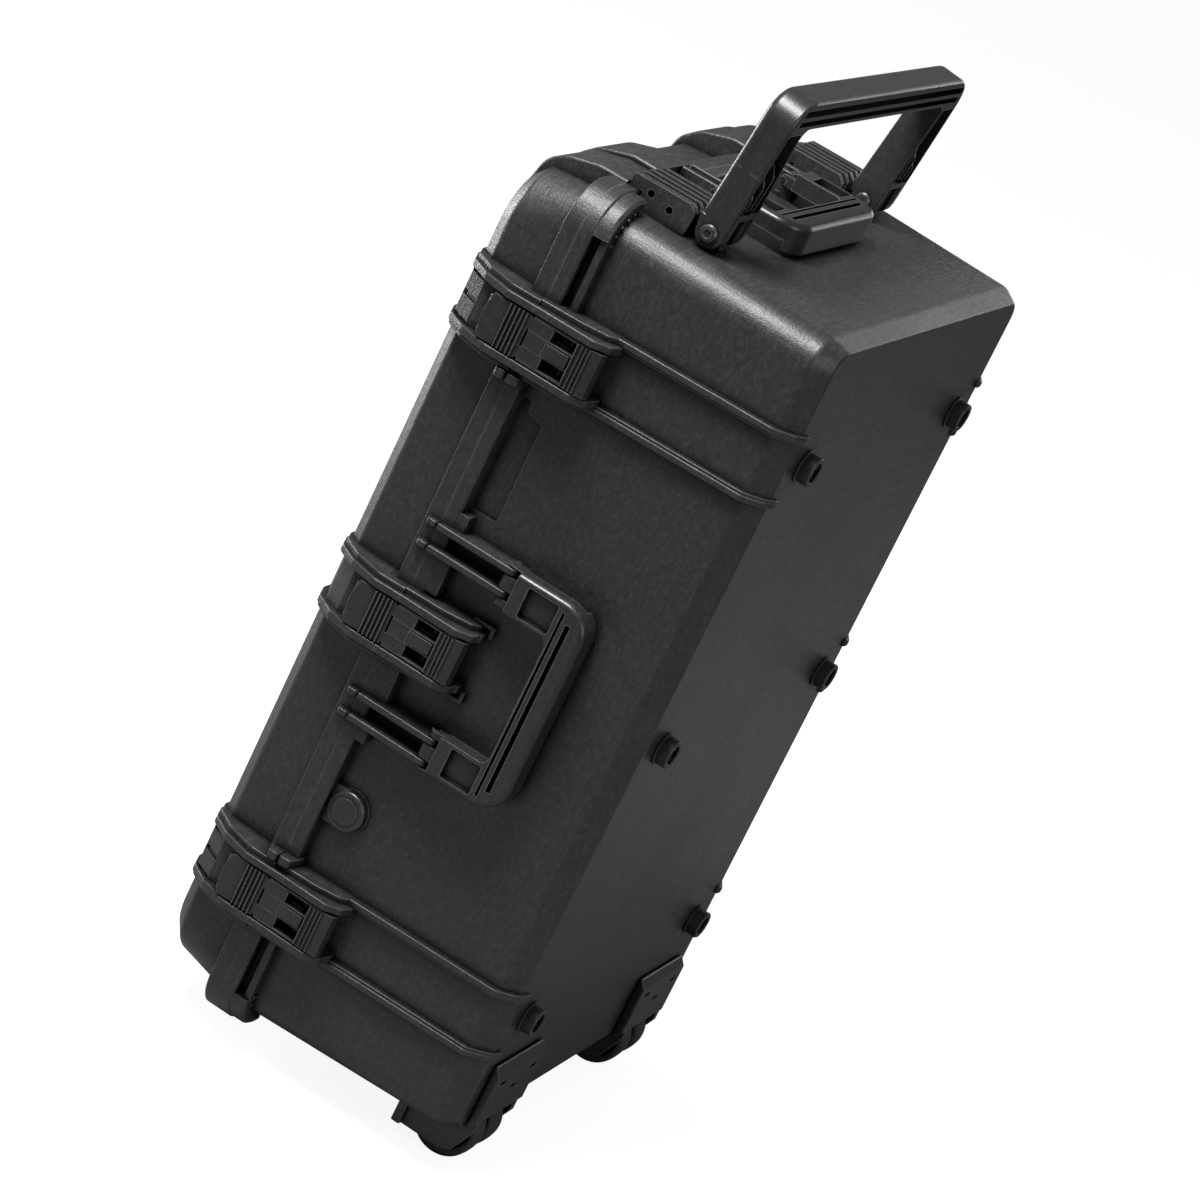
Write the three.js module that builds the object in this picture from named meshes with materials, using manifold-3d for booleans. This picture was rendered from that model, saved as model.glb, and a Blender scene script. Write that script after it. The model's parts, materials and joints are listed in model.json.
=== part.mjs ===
// Wheeled hard equipment case standing upright on its wheels and two moulded skids.
// Millimetres. The outer group holds the case frame: x = 0 on the bottom face (the one with six feet),
// -x towards the lid, -y the latch side, +y the hinge side, z = 0 halfway along the case.
import * as THREE from 'three';
import { mergeVertices } from 'three/addons/utils/BufferGeometryUtils.js';
import Module from 'manifold-3d';

const wasm = await Module();
wasm.setup();

// Body
const BASE_HALF_Y = 242.7;
const BASE_HALF_Z = 391;
const BASE_DEPTH = 235;
const BASE_DRAFT = 0.0277;
const LID_DEPTH = 78;
const LID_DRAFT = 0.07;
const WALL = 5;
const CORNER_R = 28;
const EDGE_R = 18;
const LID_EDGE_R = 20;
const GAP = 0.3;
const PARTING_X = -BASE_DEPTH;
const LID_FACE_X = PARTING_X - 0.4;
const LID_TOP_X = LID_FACE_X - LID_DEPTH;
const RIM_HALF_Y = BASE_HALF_Y + BASE_DRAFT * BASE_DEPTH;
const RIM_HALF_Z = BASE_HALF_Z + BASE_DRAFT * BASE_DEPTH;
const FLANGE_OUT = 14;
const BASE_FLANGE_THICK = 11;
const LID_FLANGE_THICK = 13;
const FRONT_FLANGE_Y = -(RIM_HALF_Y + FLANGE_OUT);
const TOP_FLANGE_Z = RIM_HALF_Z + FLANGE_OUT;

// Where the standing case puts its own frame: centred in plan, wheels on z = 0
const BOTTOM_FACE_X = 152.5;
const MID_Z = 435;

// Latches and hinges share three stations along the case
const STATIONS = { upper: 276, middle: 0, lower: -276 };
const RIB_INNER = 21.5;
const RIB_OUTER = 29;
const LATCH_HALF = 20.5;
const LATCH_FACE_Y = -279.5;
const LEVER_PIVOT = { x: -226, y: -271.5 };
const LEVER_END_R = 8;
const LEVER_TAIL_X = -165;
const GRIP_START_X = -188;
const HOOK_PIVOT = { x: -196, y: -267.5 };
const HOOK_STEP_X = -211.5;
const HOOK_ARM = [8, 17.8];
const LEVER_SLOT = [7.6, 18.3];
const SLOT_END_X = -190;
const HOOK_TIP_X = -276;
const PLATE_THICK = 5;
const LATCH_PIN_R = 2.2;
const TRUNNION_R = 3;
const HINGE_AXIS = { x: PARTING_X - 0.2, y: RIM_HALF_Y + 23.3 };
const KNUCKLE_R = 8;
const HINGE_PIN_R = 3;

// Carry handles, in their own frame: pivot at the origin, arms along +x, width along y, out along +z
const CARRY_REACH = 85;
const CARRY_HALF = 99;
const CARRY_ARM_INNER = 62;
const CARRY_TOP = 12;
const CARRY_UNDER = -4;
const CARRY_SKIRT = { bottom: -15, from: 73 };
const CARRY_GRIP_X = 56;
const CARRY_OUTER_R = 18;
const CARRY_ARM_START = 10;
const CARRY_SLOTS = [[58, 61], [65.5, 69.5]];
const CARRY_PIN_R = 3;
const TINE_R = 6.5;
const TINE = [76.8, 90.2];
const BRACKET_RIBS = [[70, 76], [91, 97]];
const BRACKET_KNOB_R = 6.5;
const FRONT_HANDLE_PIVOT = { x: -160, out: 16 };
const END_HANDLE_PIVOT = { x: -199, out: 16 };

// Pull handle, in its own frame: pivot at the origin, standing along +z
const PULL_PIVOT = { x: -153, out: 14.8 };
const PULL_LEAN = THREE.MathUtils.degToRad(6.4);
const PULL_HALF = 205;
const PULL_REACH = 135;
const PULL_GRIP = 27;
const PULL_INNER = { hub: 157, top: 171 };
const PULL_BACK = -16;
const PULL_FRONT = 13.5;
const PULL_HUB_R = 13;
const PULL_CORNER_R = { outer: 24, inner: 12 };
const PULL_GROOVES = [[112, 117.6], [121.2, 128]];
const PULL_CHANNEL = { back: -6.5, outer: 201, wall: 4.3, bottom: 25, top: 103 };
const PULL_FORK = { y: [164, 194], top: 20 };
const PULL_FINS = [{ y: 172, top: 78 }, { y: 182, top: 70 }, { y: 192, top: 60 }];
const PULL_CLAWS = { y: [165.5, 172, 190], x: 9.8, z: [-6, 24] };
const FIN_THICK = 2.6;
const PULL_LUG = { y: [176.5, 187.5], r: 8.5 };
const PULL_SCREW = { start: 153.6, shaftR: 4.6, headR: 8, innerHeadR: 7 };
const PULL_BRACKET = { y: [140, 203], endX: -171, height: 27, rimX: -223.4 };
const BRACKET_SLOTS = [151, 164, 177, 190];
const BRACKET_SLOT_HALF = 4;
const BRACKET_SCREW_X = { rim: -223, handle: -201 };

// Wheels
const AXLE = { x: -22, z: -404 };
const WHEEL_R = 31;
const WHEEL_DISCS = { outer: [166, 190], inner: [131, 155] };
const WHEEL_WELL = { x: -60, z: -368, y: [117, 204] };
const CHEEKS = [[119, 127], [194, 202]];
const BRACKET_Y = [110, 207];
const AXLE_R = 4;

// Feet
const FOOT_Y = 186;
const FOOT_Z = 276;
const FOOT_R = 15;
const FOOT_HEIGHT = 13;

// Pressure valve
const VALVE = { x: -205, z: -176, r: 18 };

const BLACK = { color: 0x1d1e20, roughness: 0.55, metalness: 0 };
const BLACK_TRIM = { color: 0x18191b, roughness: 0.45, metalness: 0 };
const RUBBER = { color: 0x141414, roughness: 0.85, metalness: 0 };
const STEEL = { color: 0x8f9296, roughness: 0.35, metalness: 1 };

/** A closed three.js geometry as a solid that can be joined and cut. */
function solidOf(geometry) {
  const bare = geometry.index ? geometry.toNonIndexed() : geometry.clone();
  bare.deleteAttribute('normal');
  bare.deleteAttribute('uv');
  const merged = mergeVertices(bare, 1e-4);
  return new wasm.Manifold(new wasm.Mesh({
    numProp: 3,
    vertProperties: new Float32Array(merged.attributes.position.array),
    triVerts: new Uint32Array(merged.index.array),
  }));
}

/** A solid back as a geometry for a mesh. */
function geometryOf(solid) {
  const { vertProperties, triVerts } = solid.getMesh();
  const geometry = new THREE.BufferGeometry();
  geometry.setAttribute('position', new THREE.BufferAttribute(new Float32Array(vertProperties), 3));
  geometry.setIndex(new THREE.BufferAttribute(new Uint32Array(triVerts), 1));
  geometry.computeVertexNormals();
  return geometry;
}

function join(solids) {
  return solids.reduce((whole, piece) => whole.add(piece));
}

function cut(solid, ...tools) {
  return tools.reduce((rest, tool) => rest.subtract(tool), solid);
}

function moved(solid, matrix) {
  return solid.transform(matrix.elements);
}

function box(x, y, z) {
  const geometry = new THREE.BoxGeometry(x[1] - x[0], y[1] - y[0], z[1] - z[0]);
  geometry.translate((x[0] + x[1]) / 2, (y[0] + y[1]) / 2, (z[0] + z[1]) / 2);
  return solidOf(geometry);
}

function axes(x, y, z) {
  return new THREE.Matrix4().makeBasis(...[x, y, z].map((v) => new THREE.Vector3(...v)));
}

// Extrusion frames: each takes a shape's own x, y and depth to the case's axes
const ALONG = {
  x: axes([0, 1, 0], [0, 0, 1], [1, 0, 0]),
  y: axes([1, 0, 0], [0, 0, 1], [0, -1, 0]),
  z: new THREE.Matrix4(),
};

/** An outline extruded along one axis between two places on it. */
function prism(shape, axis, from, to, curveSegments = 4) {
  const options = { depth: to - from, bevelEnabled: false, curveSegments };
  const geometry = new THREE.ExtrudeGeometry(shape, options);
  geometry.applyMatrix4(ALONG[axis]);
  const start = axis === 'y' ? to : from;
  geometry.translate(axis === 'x' ? start : 0, axis === 'y' ? start : 0, axis === 'z' ? start : 0);
  return solidOf(geometry);
}

function outline(points) {
  return new THREE.Shape(points.map(([x, y]) => new THREE.Vector2(x, y)));
}

/** A round bar along one axis; the centre is its place on the other two, in x, y, z order. */
function bar(axis, centre, from, to, radius, segments = 12) {
  const geometry = new THREE.CylinderGeometry(radius, radius, to - from, segments);
  const middle = (from + to) / 2;
  if (axis === 'x') geometry.rotateZ(Math.PI / 2).translate(middle, centre[0], centre[1]);
  if (axis === 'y') geometry.translate(centre[0], middle, centre[1]);
  if (axis === 'z') geometry.rotateX(Math.PI / 2).translate(centre[0], centre[1], middle);
  return solidOf(geometry);
}

function roundedRectangle(halfWidth, halfHeight, radius) {
  const shape = new THREE.Shape();
  shape.moveTo(halfWidth, -halfHeight + radius);
  shape.absarc(halfWidth - radius, halfHeight - radius, radius, 0, Math.PI / 2);
  shape.absarc(-halfWidth + radius, halfHeight - radius, radius, Math.PI / 2, Math.PI);
  shape.absarc(-halfWidth + radius, -halfHeight + radius, radius, Math.PI, Math.PI * 1.5);
  shape.absarc(halfWidth - radius, -halfHeight + radius, radius, Math.PI * 1.5, Math.PI * 2);
  return shape;
}

/** A drafted tub: its closed face is at x = 0 and its walls spread by the draft towards -x. */
function tub(halfY, halfZ, depth, cornerRadius, edgeRadius, draft) {
  const geometry = new THREE.ExtrudeGeometry(roundedRectangle(halfY, halfZ, cornerRadius), {
    depth: depth - edgeRadius,
    bevelThickness: edgeRadius,
    bevelSize: edgeRadius,
    bevelOffset: -edgeRadius,
    bevelSegments: 3,
    curveSegments: 4,
  });
  geometry.applyMatrix4(ALONG.x).translate(-depth, 0, 0);
  const place = geometry.attributes.position;
  for (let i = 0; i < place.count; i += 1) {
    const spread = -draft * place.getX(i);
    place.setY(i, place.getY(i) * (1 + spread / halfY));
    place.setZ(i, place.getZ(i) * (1 + spread / halfZ));
  }
  return solidOf(geometry);
}

function flange(fromX, toX) {
  const shape = roundedRectangle(RIM_HALF_Y + FLANGE_OUT, RIM_HALF_Z + FLANGE_OUT, CORNER_R + FLANGE_OUT);
  return prism(shape, 'x', fromX, toX);
}

/** Distance of the base's drafted wall from the middle plane, at a depth x. */
function baseWallY(x) {
  return BASE_HALF_Y - BASE_DRAFT * x;
}

function baseWallZ(x) {
  return BASE_HALF_Z - BASE_DRAFT * x;
}

/** Mirrors an outline drawn for the latch side over to the hinge side. */
function otherSide(points) {
  return points.map(([x, y]) => [x, -y]).reverse();
}

/** Low wall that closes the pocket behind a latch's tail. */
function latchEndWall(station) {
  return box([-160, -156], [-262, -243], [station - RIB_OUTER, station + RIB_OUTER]);
}

function ribPair(points, station) {
  return [[-RIB_OUTER, -RIB_INNER], [RIB_INNER, RIB_OUTER]].map(
    ([low, high]) => prism(outline(points), 'z', station + low, station + high),
  );
}

/** Rib beside a latch, from the rim to the latch's tail, standing as high as the latch. */
const LATCH_RIB = [
  [PARTING_X, -244], [PARTING_X, LATCH_FACE_Y + 1], [-232, LATCH_FACE_Y], [-178, LATCH_FACE_Y],
  [-166, LATCH_FACE_Y + 7], [-160, -262], [-158, -244],
];

/** Low rib down the wall, curling over the edge onto the bottom face. */
const WALL_RIB = [
  [PARTING_X, -244], [PARTING_X, FRONT_FLANGE_Y], [-222, FRONT_FLANGE_Y], [-210, -257],
  [-20, -251.5], [-8, -246], [2, -234], [4, -226], [-4, -224], [-12, -236],
];

/** Rib on the lid beside a latch, over the edge of the lid. */
const LID_RIB = [
  [LID_FACE_X, -244], [LID_FACE_X, LATCH_FACE_Y + 1], [-240, LATCH_FACE_Y], [-262, LATCH_FACE_Y],
  [-292, -268], [-309, -252], [-318, -232], [-318, -218], [-309, -218], [-300, -240],
];

function skids() {
  const shape = outline([
    [PARTING_X + 3, -MID_Z], [-196, -MID_Z], [-190, -MID_Z + 6], [-186, -390], [PARTING_X, -394],
    [PARTING_X, -MID_Z + 3],
  ]);
  return [[-110, -62], [62, 110]].map(([low, high]) => prism(shape, 'y', low, high));
}

/** Solid corner block that lines a wheel well inside the tub. */
function wellLining(side) {
  const [low, high] = WHEEL_WELL.y;
  const y = side > 0 ? [low - 4, high + 4] : [-high - 4, -low + 4];
  return box([WHEEL_WELL.x - 4, -2], y, [-BASE_HALF_Z + 2, WHEEL_WELL.z + 4]);
}

function wellSpace(side) {
  const [low, high] = WHEEL_WELL.y;
  const y = side > 0 ? [low, high] : [-high, -low];
  return box([WHEEL_WELL.x, 30], y, [-BASE_HALF_Z - 30, WHEEL_WELL.z]);
}

/** Two ribs for each arm of a carry handle, in the handle's frame, with the pin's hole. */
function handleBracket(pivot) {
  const back = PARTING_X - pivot.x;
  const foot = -pivot.out - 3;
  const rib = new THREE.Shape();
  rib.moveTo(back, foot);
  rib.lineTo(BRACKET_KNOB_R, foot);
  rib.lineTo(BRACKET_KNOB_R, 0);
  rib.absarc(0, 0, BRACKET_KNOB_R, 0, Math.PI / 2);
  rib.lineTo(back, BRACKET_KNOB_R);
  const ribs = [];
  for (const [low, high] of BRACKET_RIBS) {
    ribs.push(prism(rib, 'y', low, high), prism(rib, 'y', -high, -low));
  }
  return cut(join(ribs), bar('y', [0, 0], -100, 100, CARRY_PIN_R + GAP, 10));
}

function frontHandlePlace() {
  const { x, out } = FRONT_HANDLE_PIVOT;
  return new THREE.Matrix4().makeRotationX(Math.PI / 2).setPosition(x, -(baseWallY(x) + out), 0);
}

function endHandlePlace() {
  const { x, out } = END_HANDLE_PIVOT;
  return new THREE.Matrix4().setPosition(x, 0, baseWallZ(x) + out);
}

/** Base knuckles either side of the lid's one, with their arms on the rim flange. */
function baseKnuckles(station) {
  const arm = box([PARTING_X, -224], [250, HINGE_AXIS.y], [-24, 24]);
  const round = bar('z', [HINGE_AXIS.x, HINGE_AXIS.y], -24, 24, KNUCKLE_R);
  const room = box([-250, -200], [RIM_HALF_Y + FLANGE_OUT + 0.2, 300], [-12, 12]);
  const pinHole = bar('z', [HINGE_AXIS.x, HINGE_AXIS.y], -30, 30, HINGE_PIN_R + GAP, 10);
  const lidSide = box([-250, PARTING_X], [240, RIM_HALF_Y + FLANGE_OUT + 0.6], [-30, 30]);
  const knuckles = cut(round.add(arm), room, pinHole, lidSide);
  return knuckles.translate([0, 0, station]);
}

function lidKnuckle(station) {
  const arm = box([LID_FACE_X - 10, LID_FACE_X], [250, HINGE_AXIS.y], [-11.4, 11.4]);
  const round = bar('z', [HINGE_AXIS.x, HINGE_AXIS.y], -11.4, 11.4, KNUCKLE_R);
  const pinHole = bar('z', [HINGE_AXIS.x, HINGE_AXIS.y], -30, 30, HINGE_PIN_R + GAP, 10);
  const baseSide = box([PARTING_X - 0.2, -200], [240, RIM_HALF_Y + FLANGE_OUT + 0.4], [-30, 30]);
  return cut(round.add(arm), pinHole, baseSide).translate([0, 0, station]);
}

function footPlaces() {
  const places = [];
  for (const [row, z] of [['upper', FOOT_Z], ['middle', 0], ['lower', -FOOT_Z]]) {
    places.push({ name: `${row}_front`, y: -FOOT_Y, z }, { name: `${row}_back`, y: FOOT_Y, z });
  }
  return places;
}

function bracketScrewPlaces() {
  const places = [];
  for (const [name, side] of [['front', -1], ['back', 1]]) {
    for (const [place, x] of Object.entries(BRACKET_SCREW_X)) {
      places.push({ name: `${name}_${place}`, side, x });
    }
  }
  return places;
}

function baseShell() {
  const outer = tub(BASE_HALF_Y, BASE_HALF_Z, BASE_DEPTH, CORNER_R, EDGE_R, BASE_DRAFT);
  const added = [outer, flange(PARTING_X, PARTING_X + BASE_FLANGE_THICK), ...skids()];
  for (const [name, station] of Object.entries(STATIONS)) {
    added.push(...ribPair(LATCH_RIB, station), ...ribPair(otherSide(WALL_RIB), station));
    added.push(latchEndWall(station), baseKnuckles(station));
    if (name !== 'middle') added.push(...ribPair(WALL_RIB, station));
  }
  added.push(moved(handleBracket(FRONT_HANDLE_PIVOT), frontHandlePlace()));
  added.push(moved(handleBracket(END_HANDLE_PIVOT), endHandlePlace()));
  added.push(bar('y', [VALVE.x, VALVE.z], -250.6, -240, VALVE.r + 1.5, 16));
  const [innerY, innerZ] = [BASE_HALF_Y - WALL, BASE_HALF_Z - WALL];
  const cavity = tub(innerY, innerZ, BASE_DEPTH + 40, CORNER_R - WALL, EDGE_R - WALL, BASE_DRAFT)
    .translate([-WALL, 0, 0]);
  const above = box([PARTING_X - 120, PARTING_X], [-400, 400], [-600, 600]);
  let shell = cut(join(added), cavity, above);
  const linings = [-1, 1].map(wellLining);
  const bosses = footPlaces().map(({ y, z }) => bar('x', [y, z], -14, -3, 8, 10));
  const valvePad = bar('y', [VALVE.x, VALVE.z], -245, -241.4, 14, 16);
  shell = join([shell, ...linings, ...bosses, valvePad]);
  const holes = footPlaces().map(({ y, z }) => bar('x', [y, z], -11, 5, 3.3, 10));
  const trunnionHoles = Object.values(STATIONS).map(
    (z) => bar('z', [LEVER_PIVOT.x, LEVER_PIVOT.y], z - 27.6, z + 27.6, TRUNNION_R + 0.4, 10),
  );
  return cut(
    shell, ...[-1, 1].map(wellSpace), ...holes, ...trunnionHoles,
    bar('y', [VALVE.x, VALVE.z], -260, -230, 8, 12),
  );
}

/** Raised pad on the lid's upper end, in line with the handle brackets. */
function lidEndPad(side) {
  const shape = new THREE.Shape();
  const foot = RIM_HALF_Z - 12;
  shape.moveTo(LID_FACE_X, foot);
  shape.lineTo(LID_FACE_X, RIM_HALF_Z + 25);
  shape.lineTo(-290, RIM_HALF_Z + 16);
  shape.quadraticCurveTo(-310, RIM_HALF_Z + 8, LID_TOP_X - 2, RIM_HALF_Z - 20);
  shape.lineTo(LID_TOP_X + 3, foot - 20);
  return prism(shape, 'y', side > 0 ? 78 : -206, side > 0 ? 206 : -78);
}

function lidShell() {
  const place = new THREE.Matrix4().makeRotationY(Math.PI).setPosition(LID_TOP_X, 0, 0);
  const topY = RIM_HALF_Y - LID_DRAFT * LID_DEPTH;
  const topZ = RIM_HALF_Z - LID_DRAFT * LID_DEPTH;
  const outer = moved(tub(topY, topZ, LID_DEPTH + 10, CORNER_R, LID_EDGE_R, LID_DRAFT), place);
  const added = [outer, flange(LID_FACE_X - LID_FLANGE_THICK, LID_FACE_X), lidEndPad(-1), lidEndPad(1)];
  const seat = outline([
    [LID_FACE_X, -240], [LID_FACE_X, FRONT_FLANGE_Y], [-284, FRONT_FLANGE_Y], [-302, -252], [-306, -240],
  ]);
  for (const station of Object.values(STATIONS)) {
    const backRib = otherSide(LID_RIB.map(([x, y]) => [x, Math.max(y, FRONT_FLANGE_Y - 1)]));
    added.push(...ribPair(LID_RIB, station), ...ribPair(backRib, station));
    added.push(prism(seat, 'z', station - RIB_INNER, station + RIB_INNER), lidKnuckle(station));
  }
  const cavity = moved(
    tub(topY - WALL, topZ - WALL, LID_DEPTH + 10, CORNER_R - WALL, LID_EDGE_R - WALL, LID_DRAFT),
    place.clone().setPosition(LID_TOP_X + WALL, 0, 0),
  );
  const below = box([LID_FACE_X, LID_FACE_X + 120], [-400, HINGE_AXIS.y - KNUCKLE_R], [-600, 600]);
  return cut(join(added), cavity, below, sealGroove(6.4, LID_FACE_X - 4.4, LID_FACE_X + 5));
}

/** A ring of the given width that follows the rim halfway across its face. */
function sealGroove(width, fromX, toX) {
  const middleY = RIM_HALF_Y + 4.5;
  const middleZ = RIM_HALF_Z + 4.5;
  const ring = roundedRectangle(middleY + width / 2, middleZ + width / 2, CORNER_R + 4 + width / 2);
  ring.holes.push(roundedRectangle(middleY - width / 2, middleZ - width / 2, CORNER_R + 4 - width / 2));
  return prism(ring, 'x', fromX, toX);
}

/** Lever of a draw latch: a ridged grip, two side walls with trunnions and a middle strip. */
function latchLever() {
  const inner = LATCH_FACE_Y + PLATE_THICK;
  const plate = new THREE.Shape();
  plate.moveTo(LEVER_TAIL_X, LATCH_FACE_Y + 3);
  plate.lineTo(LEVER_TAIL_X, -266);
  plate.lineTo(LEVER_TAIL_X - 5, -262);
  plate.lineTo(GRIP_START_X + 4, -266);
  plate.lineTo(GRIP_START_X, inner);
  plate.lineTo(LEVER_PIVOT.x, inner);
  plate.lineTo(LEVER_PIVOT.x - Math.sqrt(LEVER_END_R ** 2 - (LEVER_PIVOT.y - inner) ** 2), inner);
  plate.absarc(LEVER_PIVOT.x, LEVER_PIVOT.y, LEVER_END_R, Math.PI * 1.124, Math.PI * 1.5);
  plate.lineTo(LEVER_TAIL_X - 3, LATCH_FACE_Y);
  const wall = new THREE.Shape();
  wall.moveTo(LEVER_PIVOT.x, LATCH_FACE_Y + 0.5);
  wall.lineTo(-184, LATCH_FACE_Y + 0.5);
  wall.lineTo(-188, -263.6);
  wall.lineTo(-202, -263.6);
  wall.lineTo(-210, -266);
  wall.lineTo(LEVER_PIVOT.x, LEVER_PIVOT.y + 5);
  wall.absarc(LEVER_PIVOT.x, LEVER_PIVOT.y, 5, Math.PI / 2, Math.PI * 1.5);
  const walls = [[-LATCH_HALF, -LEVER_SLOT[1]], [LEVER_SLOT[1], LATCH_HALF]].map(
    ([low, high]) => prism(wall, 'z', low, high),
  );
  const trunnions = [[-27, -19], [19, 27]].map(
    ([low, high]) => bar('z', [LEVER_PIVOT.x, LEVER_PIVOT.y], low, high, TRUNNION_R, 10),
  );
  const ridges = [-183, -178, -173].map(
    (x) => box([x - 0.8, x + 0.8], [LATCH_FACE_Y - 1, LATCH_FACE_Y + 1.2], [-30, 30]),
  );
  const [near, far] = LEVER_SLOT;
  const slots = [[-far, -near], [near, far]].map(
    ([low, high]) => box([-240, SLOT_END_X], [-290, -272], [low, high]),
  );
  return cut(
    join([prism(plate, 'z', -LATCH_HALF, LATCH_HALF), ...walls, ...trunnions]),
    ...ridges, ...slots, box([-214, SLOT_END_X], [-290, -260], [-5.9, 5.9]),
    bar('z', [HOOK_PIVOT.x, HOOK_PIVOT.y], -30, 30, LATCH_PIN_R + GAP, 10),
  );
}

/** Hook plate of a draw latch: a ridged plate over the rim with two arms back to its pin. */
function latchHook() {
  const inner = LATCH_FACE_Y + PLATE_THICK + 1;
  const plate = new THREE.Shape();
  plate.moveTo(LEVER_PIVOT.x - 0.5, LATCH_FACE_Y);
  plate.absarc(LEVER_PIVOT.x, LEVER_PIVOT.y, LEVER_END_R + 0.4, Math.PI * 1.48, Math.PI * 1.08, true);
  plate.lineTo(-240, inner + 1);
  plate.lineTo(-266, inner + 1);
  plate.lineTo(HOOK_TIP_X, -266);
  plate.lineTo(HOOK_TIP_X - 2, -269);
  plate.quadraticCurveTo(HOOK_TIP_X, -277, -262, LATCH_FACE_Y);
  const arm = new THREE.Shape();
  arm.moveTo(-244, -277);
  arm.lineTo(-238, LATCH_FACE_Y + 0.2);
  arm.lineTo(HOOK_STEP_X, LATCH_FACE_Y + 0.2);
  arm.lineTo(HOOK_STEP_X, -271.4);
  arm.lineTo(HOOK_PIVOT.x, -271.4);
  arm.absarc(HOOK_PIVOT.x, HOOK_PIVOT.y, 3.9, -Math.PI / 2, Math.PI / 2);
  arm.lineTo(-240, -264.2);
  const [near, far] = HOOK_ARM;
  const arms = [[-far, -near], [near, far]].map(([low, high]) => prism(arm, 'z', low, high));
  const ridges = [0, 1, 2, 3, 4].map(
    (i) => box([-253.4 + i * 4, -252 + i * 4], [LATCH_FACE_Y - 1, LATCH_FACE_Y + 1.1], [-30, 30]),
  );
  return cut(
    join([prism(plate, 'z', -LATCH_HALF, LATCH_HALF), ...arms]), ...ridges,
    bar('z', [HOOK_PIVOT.x, HOOK_PIVOT.y], -30, 30, LATCH_PIN_R + GAP, 10),
  );
}

function releaseTab() {
  const shape = outline([
    [-213.6, LATCH_FACE_Y + 0.2], [SLOT_END_X - 0.4, LATCH_FACE_Y + 0.2],
    [SLOT_END_X - 0.4, -274.8], [-213.6, -274.8],
  ]);
  return prism(shape, 'z', -5.5, 5.5);
}

/** U-shaped carry handle with two slots along the grip and a pocket in each arm. */
function carryHandle() {
  const shape = new THREE.Shape();
  const outerR = CARRY_OUTER_R;
  const armStart = CARRY_ARM_START;
  shape.moveTo(armStart, -CARRY_HALF);
  shape.lineTo(CARRY_REACH - outerR, -CARRY_HALF);
  shape.absarc(CARRY_REACH - outerR, -CARRY_HALF + outerR, outerR, -Math.PI / 2, 0);
  shape.absarc(CARRY_REACH - outerR, CARRY_HALF - outerR, outerR, 0, Math.PI / 2);
  shape.lineTo(armStart, CARRY_HALF);
  shape.lineTo(armStart, CARRY_ARM_INNER);
  shape.lineTo(CARRY_GRIP_X - 6, CARRY_ARM_INNER);
  shape.lineTo(CARRY_GRIP_X, CARRY_ARM_INNER - 6);
  shape.lineTo(CARRY_GRIP_X, -CARRY_ARM_INNER + 6);
  shape.lineTo(CARRY_GRIP_X - 6, -CARRY_ARM_INNER);
  shape.lineTo(armStart, -CARRY_ARM_INNER);
  const body = prism(shape, 'z', CARRY_UNDER, CARRY_TOP);
  const { bottom, from } = CARRY_SKIRT;
  const skirt = cut(prism(shape, 'z', bottom, 0), box([-50, from], [-150, 150], [bottom - 5, 5]));
  const tine = new THREE.Shape();
  tine.moveTo(armStart + 4, CARRY_UNDER);
  tine.lineTo(armStart + 4, 7);
  tine.lineTo(0, TINE_R);
  tine.absarc(0, 0, TINE_R, Math.PI / 2, Math.PI * 1.5);
  tine.lineTo(armStart + 4, -TINE_R);
  const tines = [prism(tine, 'y', TINE[0], TINE[1]), prism(tine, 'y', -TINE[1], -TINE[0])];
  const slotEnd = CARRY_HALF - 12;
  const slots = CARRY_SLOTS.map(
    ([low, high]) => box([low, high], [-slotEnd, slotEnd], [CARRY_TOP - 9, CARRY_TOP + 5]),
  );
  const pockets = [[68, 93], [-93, -68]].map(
    ([low, high]) => box([24, 52], [low, high], [CARRY_TOP - 5, CARRY_TOP + 5]),
  );
  const pinHole = bar('y', [0, 0], -110, 110, CARRY_PIN_R + GAP, 10);
  return cut(join([body, skirt, ...tines]), ...slots, ...pockets, pinHole);
}

function carryHandlePin(side) {
  const span = side > 0 ? [70.3, 96.7] : [-96.7, -70.3];
  return bar('y', [0, 0], ...span, CARRY_PIN_R, 10);
}

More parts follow.
